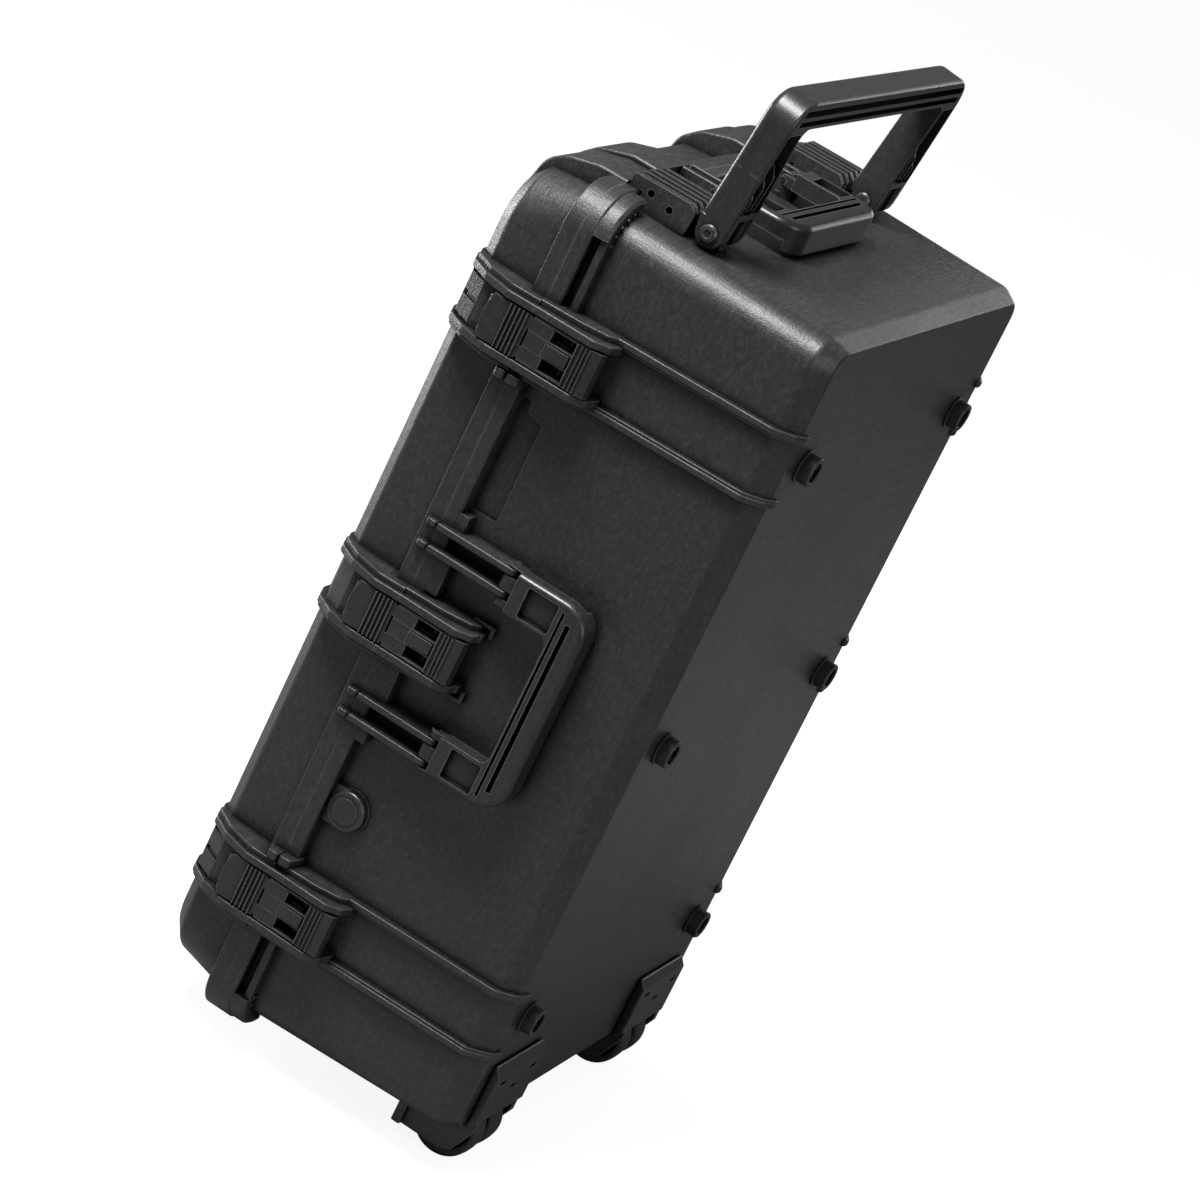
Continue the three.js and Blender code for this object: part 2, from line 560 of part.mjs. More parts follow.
/** Tall bail: two channel arms and a grooved grip. */
function pullHandle() {
  const { outer: outerR, inner: innerR } = PULL_CORNER_R;
  const { hub: hubInner, top: topInner } = PULL_INNER;
  const top = PULL_REACH;
  const under = top - PULL_GRIP;
  const shape = new THREE.Shape();
  shape.moveTo(PULL_HALF, 0);
  shape.lineTo(PULL_HALF, top - outerR);
  shape.absarc(PULL_HALF - outerR, top - outerR, outerR, 0, Math.PI / 2);
  shape.absarc(-PULL_HALF + outerR, top - outerR, outerR, Math.PI / 2, Math.PI);
  shape.lineTo(-PULL_HALF, 0);
  shape.lineTo(-hubInner, 0);
  shape.lineTo(-hubInner, PULL_FORK.top);
  shape.absarc(-topInner + innerR, under - innerR, innerR, Math.PI, Math.PI / 2, true);
  shape.absarc(topInner - innerR, under - innerR, innerR, Math.PI / 2, 0, true);
  shape.lineTo(hubInner, PULL_FORK.top);
  shape.lineTo(hubInner, 0);
  const bail = prism(shape, 'x', PULL_BACK, PULL_FRONT);
  const hub = new THREE.Shape();
  hub.moveTo(PULL_FRONT - 0.2, 12);
  hub.lineTo(PULL_BACK + 0.2, 12);
  hub.lineTo(PULL_BACK + 0.2, 8);
  hub.absarc(0, 0, PULL_HUB_R, Math.PI, Math.PI * 2);
  hub.lineTo(PULL_FRONT - 0.2, 8);
  const hubs = [prism(hub, 'y', hubInner, PULL_HALF), prism(hub, 'y', -PULL_HALF, -hubInner)];
  const below = box([-40, 40], [-300, 300], [-40, 0]);
  const grooves = PULL_GROOVES.map(
    (z) => box([PULL_FRONT - 14, PULL_FRONT + 9], [-PULL_HALF + 10, PULL_HALF - 10], z),
  );
  const solid = cut(
    join([cut(bail, below), ...hubs]), ...grooves, pullChannel(1), pullChannel(-1), pullFork(1), pullFork(-1),
    bar('y', [0, 0], -230, 230, 5, 12),
  );
  return join([solid, ...pullFins(1), ...pullFins(-1)]);
}

/** The hollow of an arm, open towards the case's bottom. */
function pullChannel(side) {
  const { back, outer, wall, bottom, top } = PULL_CHANNEL;
  const { hub, top: topInner } = PULL_INNER;
  const corners = [[outer, bottom], [outer, top], [topInner + wall, top], [hub + wall, bottom]];
  return prism(outline(corners.map(([y, z]) => [side * y, z])), 'x', back, PULL_FRONT + 9);
}

/** The gap between an arm's two hub cheeks. */
function pullFork(side) {
  const [low, high] = PULL_FORK.y;
  return box([-30, 30], side > 0 ? [low, high] : [-high, -low], [-PULL_HUB_R - 5, PULL_FORK.top]);
}

/** The fins in an arm's hollow, and the claws below them on either side of the bracket's lug. */
function pullFins(side) {
  const span = (y) => (side > 0 ? [y, y + FIN_THICK] : [-y - FIN_THICK, -y]);
  const back = PULL_CHANNEL.back - 1;
  const front = PULL_FRONT - 0.5;
  const foot = PULL_CHANNEL.bottom - 1;
  const fins = PULL_FINS.map(({ y, top }) => {
    const shape = outline([[back, foot], [front, foot], [front, top - 22], [6, top - 8], [back, top]]);
    return prism(shape, 'y', ...span(y));
  });
  const claws = PULL_CLAWS.y.map((y) => box([PULL_CLAWS.x, front], span(y), PULL_CLAWS.z));
  return [...fins, ...claws];
}

function pullScrew(side) {
  const { start, shaftR, headR, innerHeadR } = PULL_SCREW;
  const profile = [
    [0, 0], [innerHeadR - 2, 0], [innerHeadR, 1.5], [innerHeadR, 3], [shaftR, 3], [shaftR, 51.8],
    [headR, 51.8], [headR, 53.8], [headR - 2, 55.8], [0, 56.4],
  ];
  const geometry = new THREE.LatheGeometry(profile.map(([r, h]) => new THREE.Vector2(r, h)), 12);
  if (side < 0) geometry.rotateX(Math.PI);
  return solidOf(geometry).translate([0, side * start, 0]);
}

/** Bracket of the pull handle: a finned block at the rim and a lug in the fork of the handle's arm. */
function pullBracket(side) {
  const { endX, height, rimX } = PULL_BRACKET;
  const foot = (x) => baseWallZ(x) + 0.5;
  const top = baseWallZ(-200) + height;
  const pivotZ = baseWallZ(PULL_PIVOT.x) + PULL_PIVOT.out;
  const y = (low, high) => (side > 0 ? [low, high] : [-high, -low]);
  const block = outline([
    [PARTING_X + 1, foot(PARTING_X)], [endX, foot(endX)], [endX, top - 5], [endX - 5, top],
    [PARTING_X + 1, top],
  ]);
  const rimStep = box([PARTING_X - 5, rimX], y(130, 210), [380, TOP_FLANGE_Z + GAP]);
  const lugFront = PULL_PIVOT.x + PULL_LUG.r;
  const lug = new THREE.Shape();
  lug.moveTo(endX - 2, foot(endX - 2));
  lug.lineTo(lugFront, foot(lugFront));
  lug.lineTo(lugFront, pivotZ);
  lug.absarc(PULL_PIVOT.x, pivotZ, PULL_LUG.r, 0, Math.PI / 2);
  lug.lineTo(endX - 2, pivotZ + PULL_LUG.r);
  const slots = BRACKET_SLOTS.map((middle) => {
    const across = y(middle - BRACKET_SLOT_HALF, middle + BRACKET_SLOT_HALF);
    return box([PARTING_X - 5, endX - 5.5], across, [top - 12, top + 5]);
  });
  const screwHoles = Object.values(BRACKET_SCREW_X).map(
    (x) => bar('y', [x, screwHeight(x)], ...y(170, 215), 3, 8),
  );
  return cut(
    prism(block, 'y', ...y(...PULL_BRACKET.y)).add(prism(lug, 'y', ...y(...PULL_LUG.y))), rimStep, ...slots,
    ...screwHoles, bar('y', [PULL_PIVOT.x, pivotZ], ...y(150, 220), PULL_SCREW.shaftR + GAP, 12),
  );
}

function screwHeight(x) {
  return baseWallZ(x) + (x < -210 ? 19.5 : 12);
}

/** A small screw set into the side of the pull handle's bracket. */
function bracketScrew(side, x) {
  const profile = [[0, 0], [2.6, 0], [2.6, 27], [1.2, 27], [1.2, 25], [0, 25]];
  const geometry = new THREE.LatheGeometry(profile.map(([r, h]) => new THREE.Vector2(r, h)), 8);
  if (side < 0) geometry.rotateX(Math.PI);
  return solidOf(geometry).translate([x, side * 171, screwHeight(x)]);
}

/** Wheel bracket: a plate on the bottom face, two cheeks around the axle and a closing wall. */
function wheelBracket(side) {
  const y = (low, high) => (side > 0 ? [low, high] : [-high, -low]);
  const plate = outline([
    [GAP, -320], [9, -332], [9, -378], [4, -384], [GAP, -384],
  ]);
  const cheek = new THREE.Shape();
  cheek.moveTo(WHEEL_WELL.x + GAP, WHEEL_WELL.z - GAP);
  cheek.lineTo(9, WHEEL_WELL.z - GAP);
  cheek.lineTo(9, -392);
  cheek.lineTo(AXLE.x + 16, -418);
  cheek.lineTo(AXLE.x + 8, -421);
  cheek.lineTo(WHEEL_WELL.x + GAP, -421);
  const skirt = box([WHEEL_WELL.x + GAP, WHEEL_WELL.x + 5], y(119, 202), [-421, WHEEL_WELL.z - GAP]);
  const cap = box([WHEEL_WELL.x - 3, WHEEL_WELL.x + 5], y(110, 207), [-421, -BASE_HALF_Z - 2.6]);
  return cut(
    join([
      prism(plate, 'y', ...y(...BRACKET_Y)), skirt, cap,
      ...CHEEKS.map((c) => prism(cheek, 'y', ...y(...c))),
    ]),
    bar('y', [AXLE.x, AXLE.z], ...y(122, 200), AXLE_R + GAP, 10),
    bar('y', [AXLE.x, AXLE.z], ...y(128, 193), WHEEL_R + 1.6, 24),
  );
}

/** Wheel disc with a hub, a thin web and a crowned tyre tread. */
function wheelDisc(low, high) {
  const bore = AXLE_R + GAP;
  const profile = [
    [bore, low], [12, low], [13, low + 5], [23, low + 5], [24, low], [29, low], [WHEEL_R, low + 3],
    [WHEEL_R, high - 3], [29, high], [bore, high], [bore, low],
  ];
  return solidOf(new THREE.LatheGeometry(profile.map(([r, h]) => new THREE.Vector2(r, h)), 24));
}

function foot() {
  const profile = [
    [3.4, 0.3], [FOOT_R, 0.3], [FOOT_R, 8], [FOOT_R - 2, FOOT_HEIGHT], [10, FOOT_HEIGHT], [9, 7],
    [3.4, 7], [3.4, 0.3],
  ];
  const geometry = new THREE.LatheGeometry(profile.map(([r, h]) => new THREE.Vector2(r, h)), 16);
  return solidOf(geometry.rotateZ(-Math.PI / 2));
}

function footScrew() {
  const profile = [[0, -10], [3, -10], [3, 7.3], [6, 7.3], [5, 10.3], [0, 10.9]];
  const geometry = new THREE.LatheGeometry(profile.map(([r, h]) => new THREE.Vector2(r, h)), 10);
  return solidOf(geometry.rotateZ(-Math.PI / 2));
}

function valveBody() {
  const stem = bar('y', [0, 0], -252, -232, 7.6, 12);
  return bar('y', [0, 0], -256, -250.9, VALVE.r, 24).add(stem);
}

function valveCap() {
  const profile = [[0, 0], [12, 0], [12, 2], [10, 3.5], [0, 4]];
  const geometry = new THREE.LatheGeometry(profile.map(([r, h]) => new THREE.Vector2(r, h)), 16);
  return solidOf(geometry.rotateX(Math.PI)).translate([0, -256.3, 0]);
}

function valveNut() {
  return cut(bar('y', [0, 0], -241.1, -234, 12, 6), bar('y', [0, 0], -250, -230, 7.9, 12));
}

const caseFrame = new THREE.Group();
caseFrame.position.set(BOTTOM_FACE_X, 0, MID_Z);

/** Adds one named piece to the case frame. */
function piece(name, solid, finish, x = 0, y = 0, z = 0) {
  const mesh = new THREE.Mesh(geometryOf(solid), new THREE.MeshStandardMaterial(finish));
  mesh.name = name;
  mesh.position.set(x, y, z);
  caseFrame.add(mesh);
  return mesh;
}

function addShells() {
  piece('base_shell', baseShell(), BLACK);
  piece('lid_shell', lidShell(), BLACK);
  piece('lid_gasket', sealGroove(5.4, LID_FACE_X - 4, LID_FACE_X), RUBBER);
}

function addLatchesAndHinges() {
  for (const [name, z] of Object.entries(STATIONS)) {
    const hingePin = bar('z', [HINGE_AXIS.x, HINGE_AXIS.y], -23.5, 23.5, HINGE_PIN_R, 10);
    const latchPin = bar('z', [HOOK_PIVOT.x, HOOK_PIVOT.y], -20.2, 20.2, LATCH_PIN_R, 10);
    piece(`hinge_pin_${name}`, hingePin, STEEL, 0, 0, z);
    piece(`latch_pin_${name}`, latchPin, STEEL, 0, 0, z);
    piece(`latch_lever_${name}`, latchLever(), BLACK_TRIM, 0, 0, z);
    piece(`latch_hook_${name}`, latchHook(), BLACK_TRIM, 0, 0, z);
    piece(`latch_release_${name}`, releaseTab(), BLACK_TRIM, 0, 0, z);
  }
}

function addCarryHandle(name, place, ends) {
  for (const mesh of [
    piece(name, carryHandle(), BLACK_TRIM),
    piece(`${name}_pin_${ends[0]}`, carryHandlePin(-1), STEEL),
    piece(`${name}_pin_${ends[1]}`, carryHandlePin(1), STEEL),
  ]) mesh.applyMatrix4(place);
}

function addPullHandle() {
  const z = baseWallZ(PULL_PIVOT.x) + PULL_PIVOT.out;
  const handle = piece('pull_handle', pullHandle(), BLACK_TRIM, PULL_PIVOT.x, 0, z);
  handle.rotation.y = PULL_LEAN;
  for (const [name, side] of [['front', -1], ['back', 1]]) {
    piece(`pull_bracket_${name}`, pullBracket(side), BLACK);
    piece(`pull_handle_screw_${name}`, pullScrew(side), STEEL, PULL_PIVOT.x, 0, z);
  }
  for (const { name, side, x } of bracketScrewPlaces()) {
    piece(`bracket_screw_${name}`, bracketScrew(side, x), STEEL);
  }
}

function addFeet() {
  for (const { name, y, z } of footPlaces()) {
    piece(`foot_${name}`, foot(), RUBBER, 0, y, z);
    piece(`foot_screw_${name}`, footScrew(), STEEL, 0, y, z);
  }
}

function addWheels() {
  for (const [name, side] of [['front', -1], ['back', 1]]) {
    piece(`wheel_bracket_${name}`, wheelBracket(side), BLACK_TRIM);
    const span = side > 0 ? [123, 199] : [-199, -123];
    piece(`axle_${name}`, bar('y', [AXLE.x, AXLE.z], ...span, AXLE_R, 10), STEEL);
    for (const [place, [low, high]] of Object.entries(WHEEL_DISCS)) {
      const disc = side > 0 ? wheelDisc(low, high) : wheelDisc(-high, -low);
      piece(`wheel_${name}_${place}`, disc, RUBBER, AXLE.x, 0, AXLE.z);
    }
  }
}

function addValve() {
  piece('valve_body', valveBody(), BLACK_TRIM, VALVE.x, 0, VALVE.z);
  piece('valve_cap', valveCap(), BLACK_TRIM, VALVE.x, 0, VALVE.z);
  piece('valve_nut', valveNut(), BLACK_TRIM, VALVE.x, 0, VALVE.z);
}

addShells();
addLatchesAndHinges();
addCarryHandle('front_handle', frontHandlePlace(), ['lower', 'upper']);
addCarryHandle('end_handle', endHandlePlace(), ['front', 'back']);
addPullHandle();
addFeet();
addWheels();
addValve();

const hardCase = new THREE.Group();
hardCase.add(caseFrame);
export default hardCase;
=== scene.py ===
"""Looks of the hard equipment case: moulded shells, latches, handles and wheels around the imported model.

Shapes are drawn in the case's own frame, in millimetres: x is 0 on the bottom face and falls towards the lid,
-y is the latch side, +y the hinge side, and z is 0 halfway along the case.
"""

import json
import math

import bmesh
import bpy
from mathutils import Matrix, Vector

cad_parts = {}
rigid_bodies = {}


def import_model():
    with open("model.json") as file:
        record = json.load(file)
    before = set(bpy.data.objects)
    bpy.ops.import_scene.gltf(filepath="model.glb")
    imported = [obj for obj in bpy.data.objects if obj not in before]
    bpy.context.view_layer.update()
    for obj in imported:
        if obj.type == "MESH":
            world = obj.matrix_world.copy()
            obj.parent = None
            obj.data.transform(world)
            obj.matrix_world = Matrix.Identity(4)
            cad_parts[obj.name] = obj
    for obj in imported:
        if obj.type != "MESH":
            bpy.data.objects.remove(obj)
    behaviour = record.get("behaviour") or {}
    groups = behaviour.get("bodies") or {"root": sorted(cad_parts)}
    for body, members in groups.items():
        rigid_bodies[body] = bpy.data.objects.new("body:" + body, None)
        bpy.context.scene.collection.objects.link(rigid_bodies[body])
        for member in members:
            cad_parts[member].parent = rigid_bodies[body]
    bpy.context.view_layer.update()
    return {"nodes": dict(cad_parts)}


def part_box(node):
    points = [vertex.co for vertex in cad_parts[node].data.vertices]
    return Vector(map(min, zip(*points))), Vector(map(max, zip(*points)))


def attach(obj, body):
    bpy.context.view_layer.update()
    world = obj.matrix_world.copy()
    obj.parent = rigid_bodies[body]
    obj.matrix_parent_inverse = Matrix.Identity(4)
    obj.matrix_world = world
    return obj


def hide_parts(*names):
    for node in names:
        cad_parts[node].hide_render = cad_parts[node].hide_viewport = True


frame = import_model()
scene = bpy.context.scene

MM = 0.001
GAP = 0.3
FOOT_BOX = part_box("foot_middle_front")
HINGE_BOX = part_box("hinge_pin_middle")
ORIGIN = Vector((FOOT_BOX[0].x - GAP * MM, 0, (HINGE_BOX[0].z + HINGE_BOX[1].z) / 2))
CASE = Matrix.Translation(ORIGIN) @ Matrix.Diagonal((MM, MM, MM, 1))

# Body
BASE_HALF_Y, BASE_HALF_Z, BASE_DEPTH, BASE_DRAFT = 242.7, 391, 235, 0.0277
LID_DEPTH, LID_DRAFT = 78, 0.07
WALL = 5
CORNER_R = 28
LID_CORNER_GROWTH = 26
BASE_CHAMFER = 16
LID_CHAMFER = 13
PARTING_X = -BASE_DEPTH
LID_FACE_X = PARTING_X - 0.4
LID_TOP_X = LID_FACE_X - LID_DEPTH
RIM_HALF_Y = BASE_HALF_Y + BASE_DRAFT * BASE_DEPTH
RIM_HALF_Z = BASE_HALF_Z + BASE_DRAFT * BASE_DEPTH
FLANGE_OUT = 14
FLANGE_Y = -(RIM_HALF_Y + FLANGE_OUT)
LID_BAND = 15

# Latches and hinges
STATIONS = {"upper": 276, "middle": 0, "lower": -276}
LATCH_HALF = 20.5
LATCH_FACE_Y = -279.4
RIB_INNER, RIB_STEP, RIB_OUTER = 21.5, 28.5, 34
LEVER_PIVOT = (-226, -271.5)
HOOK_PIVOT = (-196, -267.5)
HINGE_AXIS = (PARTING_X - 0.2, RIM_HALF_Y + 23.3)
HINGE_PIN_HOLE = 3.3

# Carry handles, drawn in their own frame: pivot at the origin, arms along +x, width along y, out along +z
CARRY_HALF, CARRY_REACH, CARRY_GRIP_X, CARRY_ARM_INNER = 99, 85, 56, 62
CARRY_TOP, CARRY_UNDER, CARRY_SKIRT, CARRY_OUTER_R = 12, -4, -15, 28
FRONT_PIVOT_X, END_PIVOT_X, CARRY_OUT = -160, -199, 16
BRACKET_RIBS = ((70, 76), (91, 97))
CARRY_PIN_HOLE = 3.3
CARRY_SLOTS = ((58, 60.6, 90), (65, 69.5, 82))

# Pull handle, drawn in its own frame: pivot at the origin, standing along +z
PULL_PIVOT_X, PULL_OUT, PULL_LEAN = -153, 14.8, math.radians(6.4)
PULL_HALF, PULL_REACH, PULL_GRIP = 205, 135, 27
PULL_INNER_HUB, PULL_INNER_TOP = 157, 171
PULL_CLAWS = (165.5, 172, 190)
PULL_FINS = ((172, 80), (182, 71), (192, 60))
PULL_GROOVES = ((112, 117.6), (121.2, 128))
PULL_FORK = (163.6, 194.4)
PULL_LUG_Y, PULL_LUG_R = (176.5, 187.5), 8.5
PULL_SCREW_START = 153.6
PULL_BRACKET_HEIGHT = 27
PULL_BACK, PULL_FRONT = -16, 13.5

# Wheels, feet and valve
AXLE_X, AXLE_Z, WHEEL_R = -22, -404, 31
WHEEL_DISCS = {"outer": (166, 190), "inner": (131, 155)}
WHEEL_WELL_Z = -368
AXLE_BORE_R = 4.3
FOOT_Y, FOOT_Z, FOOT_R, FOOT_HEIGHT = 186, 276, 15, 13
VALVE_X, VALVE_Z, VALVE_R = -205, -176, 18

SHARP = math.radians(32)


def wall_y(x):
    """Distance of the base's drafted wall from the middle plane."""
    return BASE_HALF_Y - BASE_DRAFT * x


def wall_z(x):
    return BASE_HALF_Z - BASE_DRAFT * x


# ---------------------------------------------------------------- mesh tools


def solid(bm):
    bmesh.ops.recalc_face_normals(bm, faces=bm.faces)
    mesh = bpy.data.meshes.new("part")
    bm.to_mesh(mesh)
    bm.free()
    made = bpy.data.objects.new("part", mesh)
    scene.collection.objects.link(made)
    return made


def soften(bm, width, steps=2, where=None):
    """Rounds the sharp edges, or those that where() picks by their middle point."""
    edges = [
        e for e in bm.edges
        if e.calc_face_angle(0) > SHARP and (where is None or where((e.verts[0].co + e.verts[1].co) / 2))
    ]
    if width > 0 and edges:
        bmesh.ops.bevel(
            bm, geom=edges, offset=width, offset_type="OFFSET", segments=steps, profile=0.5,
            affect="EDGES", clamp_overlap=True,
        )


def rounded(points, radius, steps=5, closed=True, keep=None):
    """An outline with its corners rounded, but for those that keep() picks."""
    made = []
    count = len(points)
    for i, point in enumerate(points):
        if (not closed and i in (0, count - 1)) or (keep and keep(point)):
            made.append(tuple(point))
            continue
        corner = Vector(point)
        before, after = Vector(points[i - 1]) - corner, Vector(points[(i + 1) % count]) - corner
        reach = 0.45 * min(before.length, after.length)
        before.normalize()
        after.normalize()
        half = before.angle(after) / 2
        if half > math.radians(86):
            made.append(tuple(point))
            continue
        setback = min(radius / math.tan(half), reach)
        centre = corner + (before + after).normalized() * (setback / math.cos(half))
        start, end = corner + before * setback - centre, corner + after * setback - centre
        turn = math.atan2(start.x * end.y - start.y * end.x, start.dot(end))
        for k in range(steps + 1):
            a = turn * k / steps
            made.append((
                centre.x + start.x * math.cos(a) - start.y * math.sin(a),
                centre.y + start.x * math.sin(a) + start.y * math.cos(a),
            ))
    return made


PLANES = {"x": (1, 2, 0), "y": (0, 2, 1), "z": (0, 1, 2)}


def prism_mesh(points, axis, low, high):
    u, v, w = PLANES[axis]
    bm = bmesh.new()
    rings = []
    for level in (low, high):
        ring = []
        for point in points:
            place = [0, 0, 0]
            place[u], place[v], place[w] = point[0], point[1], level
            ring.append(bm.verts.new(place))
        rings.append(ring)
        bm.faces.new(ring)
    for i in range(len(points)):
        bm.faces.new((rings[0][i - 1], rings[0][i], rings[1][i], rings[1][i - 1]))
    bmesh.ops.recalc_face_normals(bm, faces=bm.faces)
    return bm


def prism(points, axis, low, high, soft=0.8, steps=2, where=None):
    """An outline extruded along one axis, with softened edges."""
    bm = prism_mesh(points, axis, low, high)
    soften(bm, soft, steps, where)
    return solid(bm)


def block(x, y, z, soft=0.8, steps=2):
    return prism([(x[0], y[0]), (x[1], y[0]), (x[1], y[1]), (x[0], y[1])], "z", z[0], z[1], soft, steps)


def circle(radius, segments=40, centre=(0, 0), start=0.0, end=math.tau):
    full = abs(end - start - math.tau) < 1e-6
    count = segments if full else segments + 1
    return [
        (centre[0] + radius * math.cos(start + (end - start) * k / segments),
         centre[1] + radius * math.sin(start + (end - start) * k / segments))
        for k in range(count)
    ]


def rod(axis, centre, low, high, radius, soft=0.5, segments=40):
    return prism(circle(radius, segments, centre), axis, low, high, soft)


def loft(rings, closed=False):
    """A solid through rings with the same number of points each."""
    bm = bmesh.new()
    rows = [[bm.verts.new(p) for p in ring] for ring in rings]
    pairs = list(zip(rows, rows[1:]))
    if closed:
        pairs.append((rows[-1], rows[0]))
    else:
        bm.faces.new(rows[0])
        bm.faces.new(rows[-1])
    for a, b in pairs:
        for i in range(len(a)):
            bm.faces.new((a[i - 1], a[i], b[i], b[i - 1]))
    return solid(bm)


def lathe(profile, axis, centre, segments=48):
    """A closed outline of (radius, height) turned about an axis; height runs along the axis."""
    u, v, w = PLANES[axis]
    rings = []
    for radius, height in profile:
        ring = []
        for a, b in circle(max(radius, 0.01), segments, centre):
            place = [0, 0, 0]
            place[u], place[v], place[w] = a, b, height
            ring.append(place)
        rings.append(ring)
    return loft(rings, closed=profile[0][0] > 0.5)


def rounded_ring(half_y, half_z, radius, x, steps=10):
    ring = []
    for quarter, (sy, sz) in enumerate(((1, 1), (-1, 1), (-1, -1), (1, -1))):
        for k in range(steps + 1):
            a = (quarter + k / steps) * math.pi / 2
            ring.append((
                x, sy * (half_y - radius) + radius * math.cos(a), sz * (half_z
                    - radius) + radius * math.sin(a),
            ))
    return ring


def rim_ring(section):
    """A closed band around the rim from a section of (distance out, x)."""
    return loft(
        [rounded_ring(RIM_HALF_Y + out, RIM_HALF_Z + out, CORNER_R + out, x) for out,
            x in section], closed=True,
    )


def bake(piece):
    graph = bpy.context.evaluated_depsgraph_get()
    mesh = bpy.data.meshes.new_from_object(piece.evaluated_get(graph))
    old = piece.data
    piece.modifiers.clear()
    piece.data = mesh
    bpy.data.meshes.remove(old)


def merged(parts, cutters=()):
    """One solid from parts that overlap, less the cutters."""
    first, *rest = parts
    for group, operation in ((rest, "UNION"), (cutters, "DIFFERENCE")):
        if not group:
            continue
        tray = bpy.data.collections.new("tray")
        scene.collection.children.link(tray)
        for o in group:
            scene.collection.objects.unlink(o)
            tray.objects.link(o)
        boolean = first.modifiers.new(operation, "BOOLEAN")
        boolean.operation = operation
        boolean.operand_type = "COLLECTION"
        boolean.collection = tray
        boolean.solver = "MANIFOLD"
        bake(first)
        for o in list(tray.objects):
            bpy.data.objects.remove(o)
        bpy.data.collections.remove(tray)
    return first


def moved(parts, matrix):
    for part in parts:
        part.data.transform(matrix)
    return parts


def piece(name, body, slot, material, parts, cutters=(), stands_for=(), place=None):
    """Joins the parts into one named piece on its body, in the row frame."""
    made = merged(parts, cutters)
    made.name = name
    if place is not None:
        made.data.transform(place)
    made.data.transform(CASE)
    made.data.materials.clear()
    made.data.materials.append(material)
    made.data.shade_smooth()
    made.data.set_sharp_from_angle(angle=SHARP)
    weighted = made.modifiers.new("weighted", "WEIGHTED_NORMAL")
    weighted.keep_sharp = True
    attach(made, body)
    if stands_for:
        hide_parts(*stands_for)
    return made


# ---------------------------------------------------------------- materials


def node(tree, kind, **values):
    made = tree.nodes.new(kind)
    for key, value in values.items():
        if key in made.inputs:
            made.inputs[key].default_value = value
        else:
            setattr(made, key, value)
    return made


def noise(tree, coordinates, scale, stretch=(1, 1, 1), detail=3.0, turn=(0, 0, 0)):
    mapping = node(tree, "ShaderNodeMapping")
    mapping.inputs["Scale"].default_value = stretch
    mapping.inputs["Rotation"].default_value = turn
    tree.links.new(coordinates, mapping.inputs["Vector"])
    made = node(tree, "ShaderNodeTexNoise", Scale=scale, Detail=detail, Roughness=0.6)
    tree.links.new(mapping.outputs["Vector"], made.inputs["Vector"])
    return made.outputs["Fac"]


def ranged(tree, value, low, high, start=0.3, end=0.7):
    made = node(tree, "ShaderNodeMapRange")
    for key, number in (("From Min", start), ("From Max", end), ("To Min", low), ("To Max", high)):
        made.inputs[key].default_value = number
    tree.links.new(value, made.inputs["Value"])
    return made.outputs["Result"]


def blended(tree, factor, first, second):
    made = node(tree, "ShaderNodeMix", data_type="RGBA")
    for socket, value in ((made.inputs[6], first), (made.inputs[7], second)):
        if isinstance(value, bpy.types.NodeSocket):
            tree.links.new(value, socket)
        else:
            socket.default_value = (*value, 1)
    tree.links.new(factor, made.inputs[0])
    return made.outputs[2]


def product(tree, first, second):
    made = node(tree, "ShaderNodeMath", operation="MULTIPLY")
    for socket, value in zip(made.inputs, (first, second)):
        tree.links.new(value, socket)
    return made.outputs[0]


def edge_mask(tree, radius):
    """Near 1 on convex and concave edges, 0 on flats."""
    bevel = node(tree, "ShaderNodeBevel", samples=4, Radius=radius)
    geometry = node(tree, "ShaderNodeNewGeometry")
    dot = node(tree, "ShaderNodeVectorMath", operation="DOT_PRODUCT")
    tree.links.new(bevel.outputs[0], dot.inputs[0])
    tree.links.new(geometry.outputs["Normal"], dot.inputs[1])
    return ranged(tree, dot.outputs["Value"], 1.0, 0.0, 0.86, 0.995)


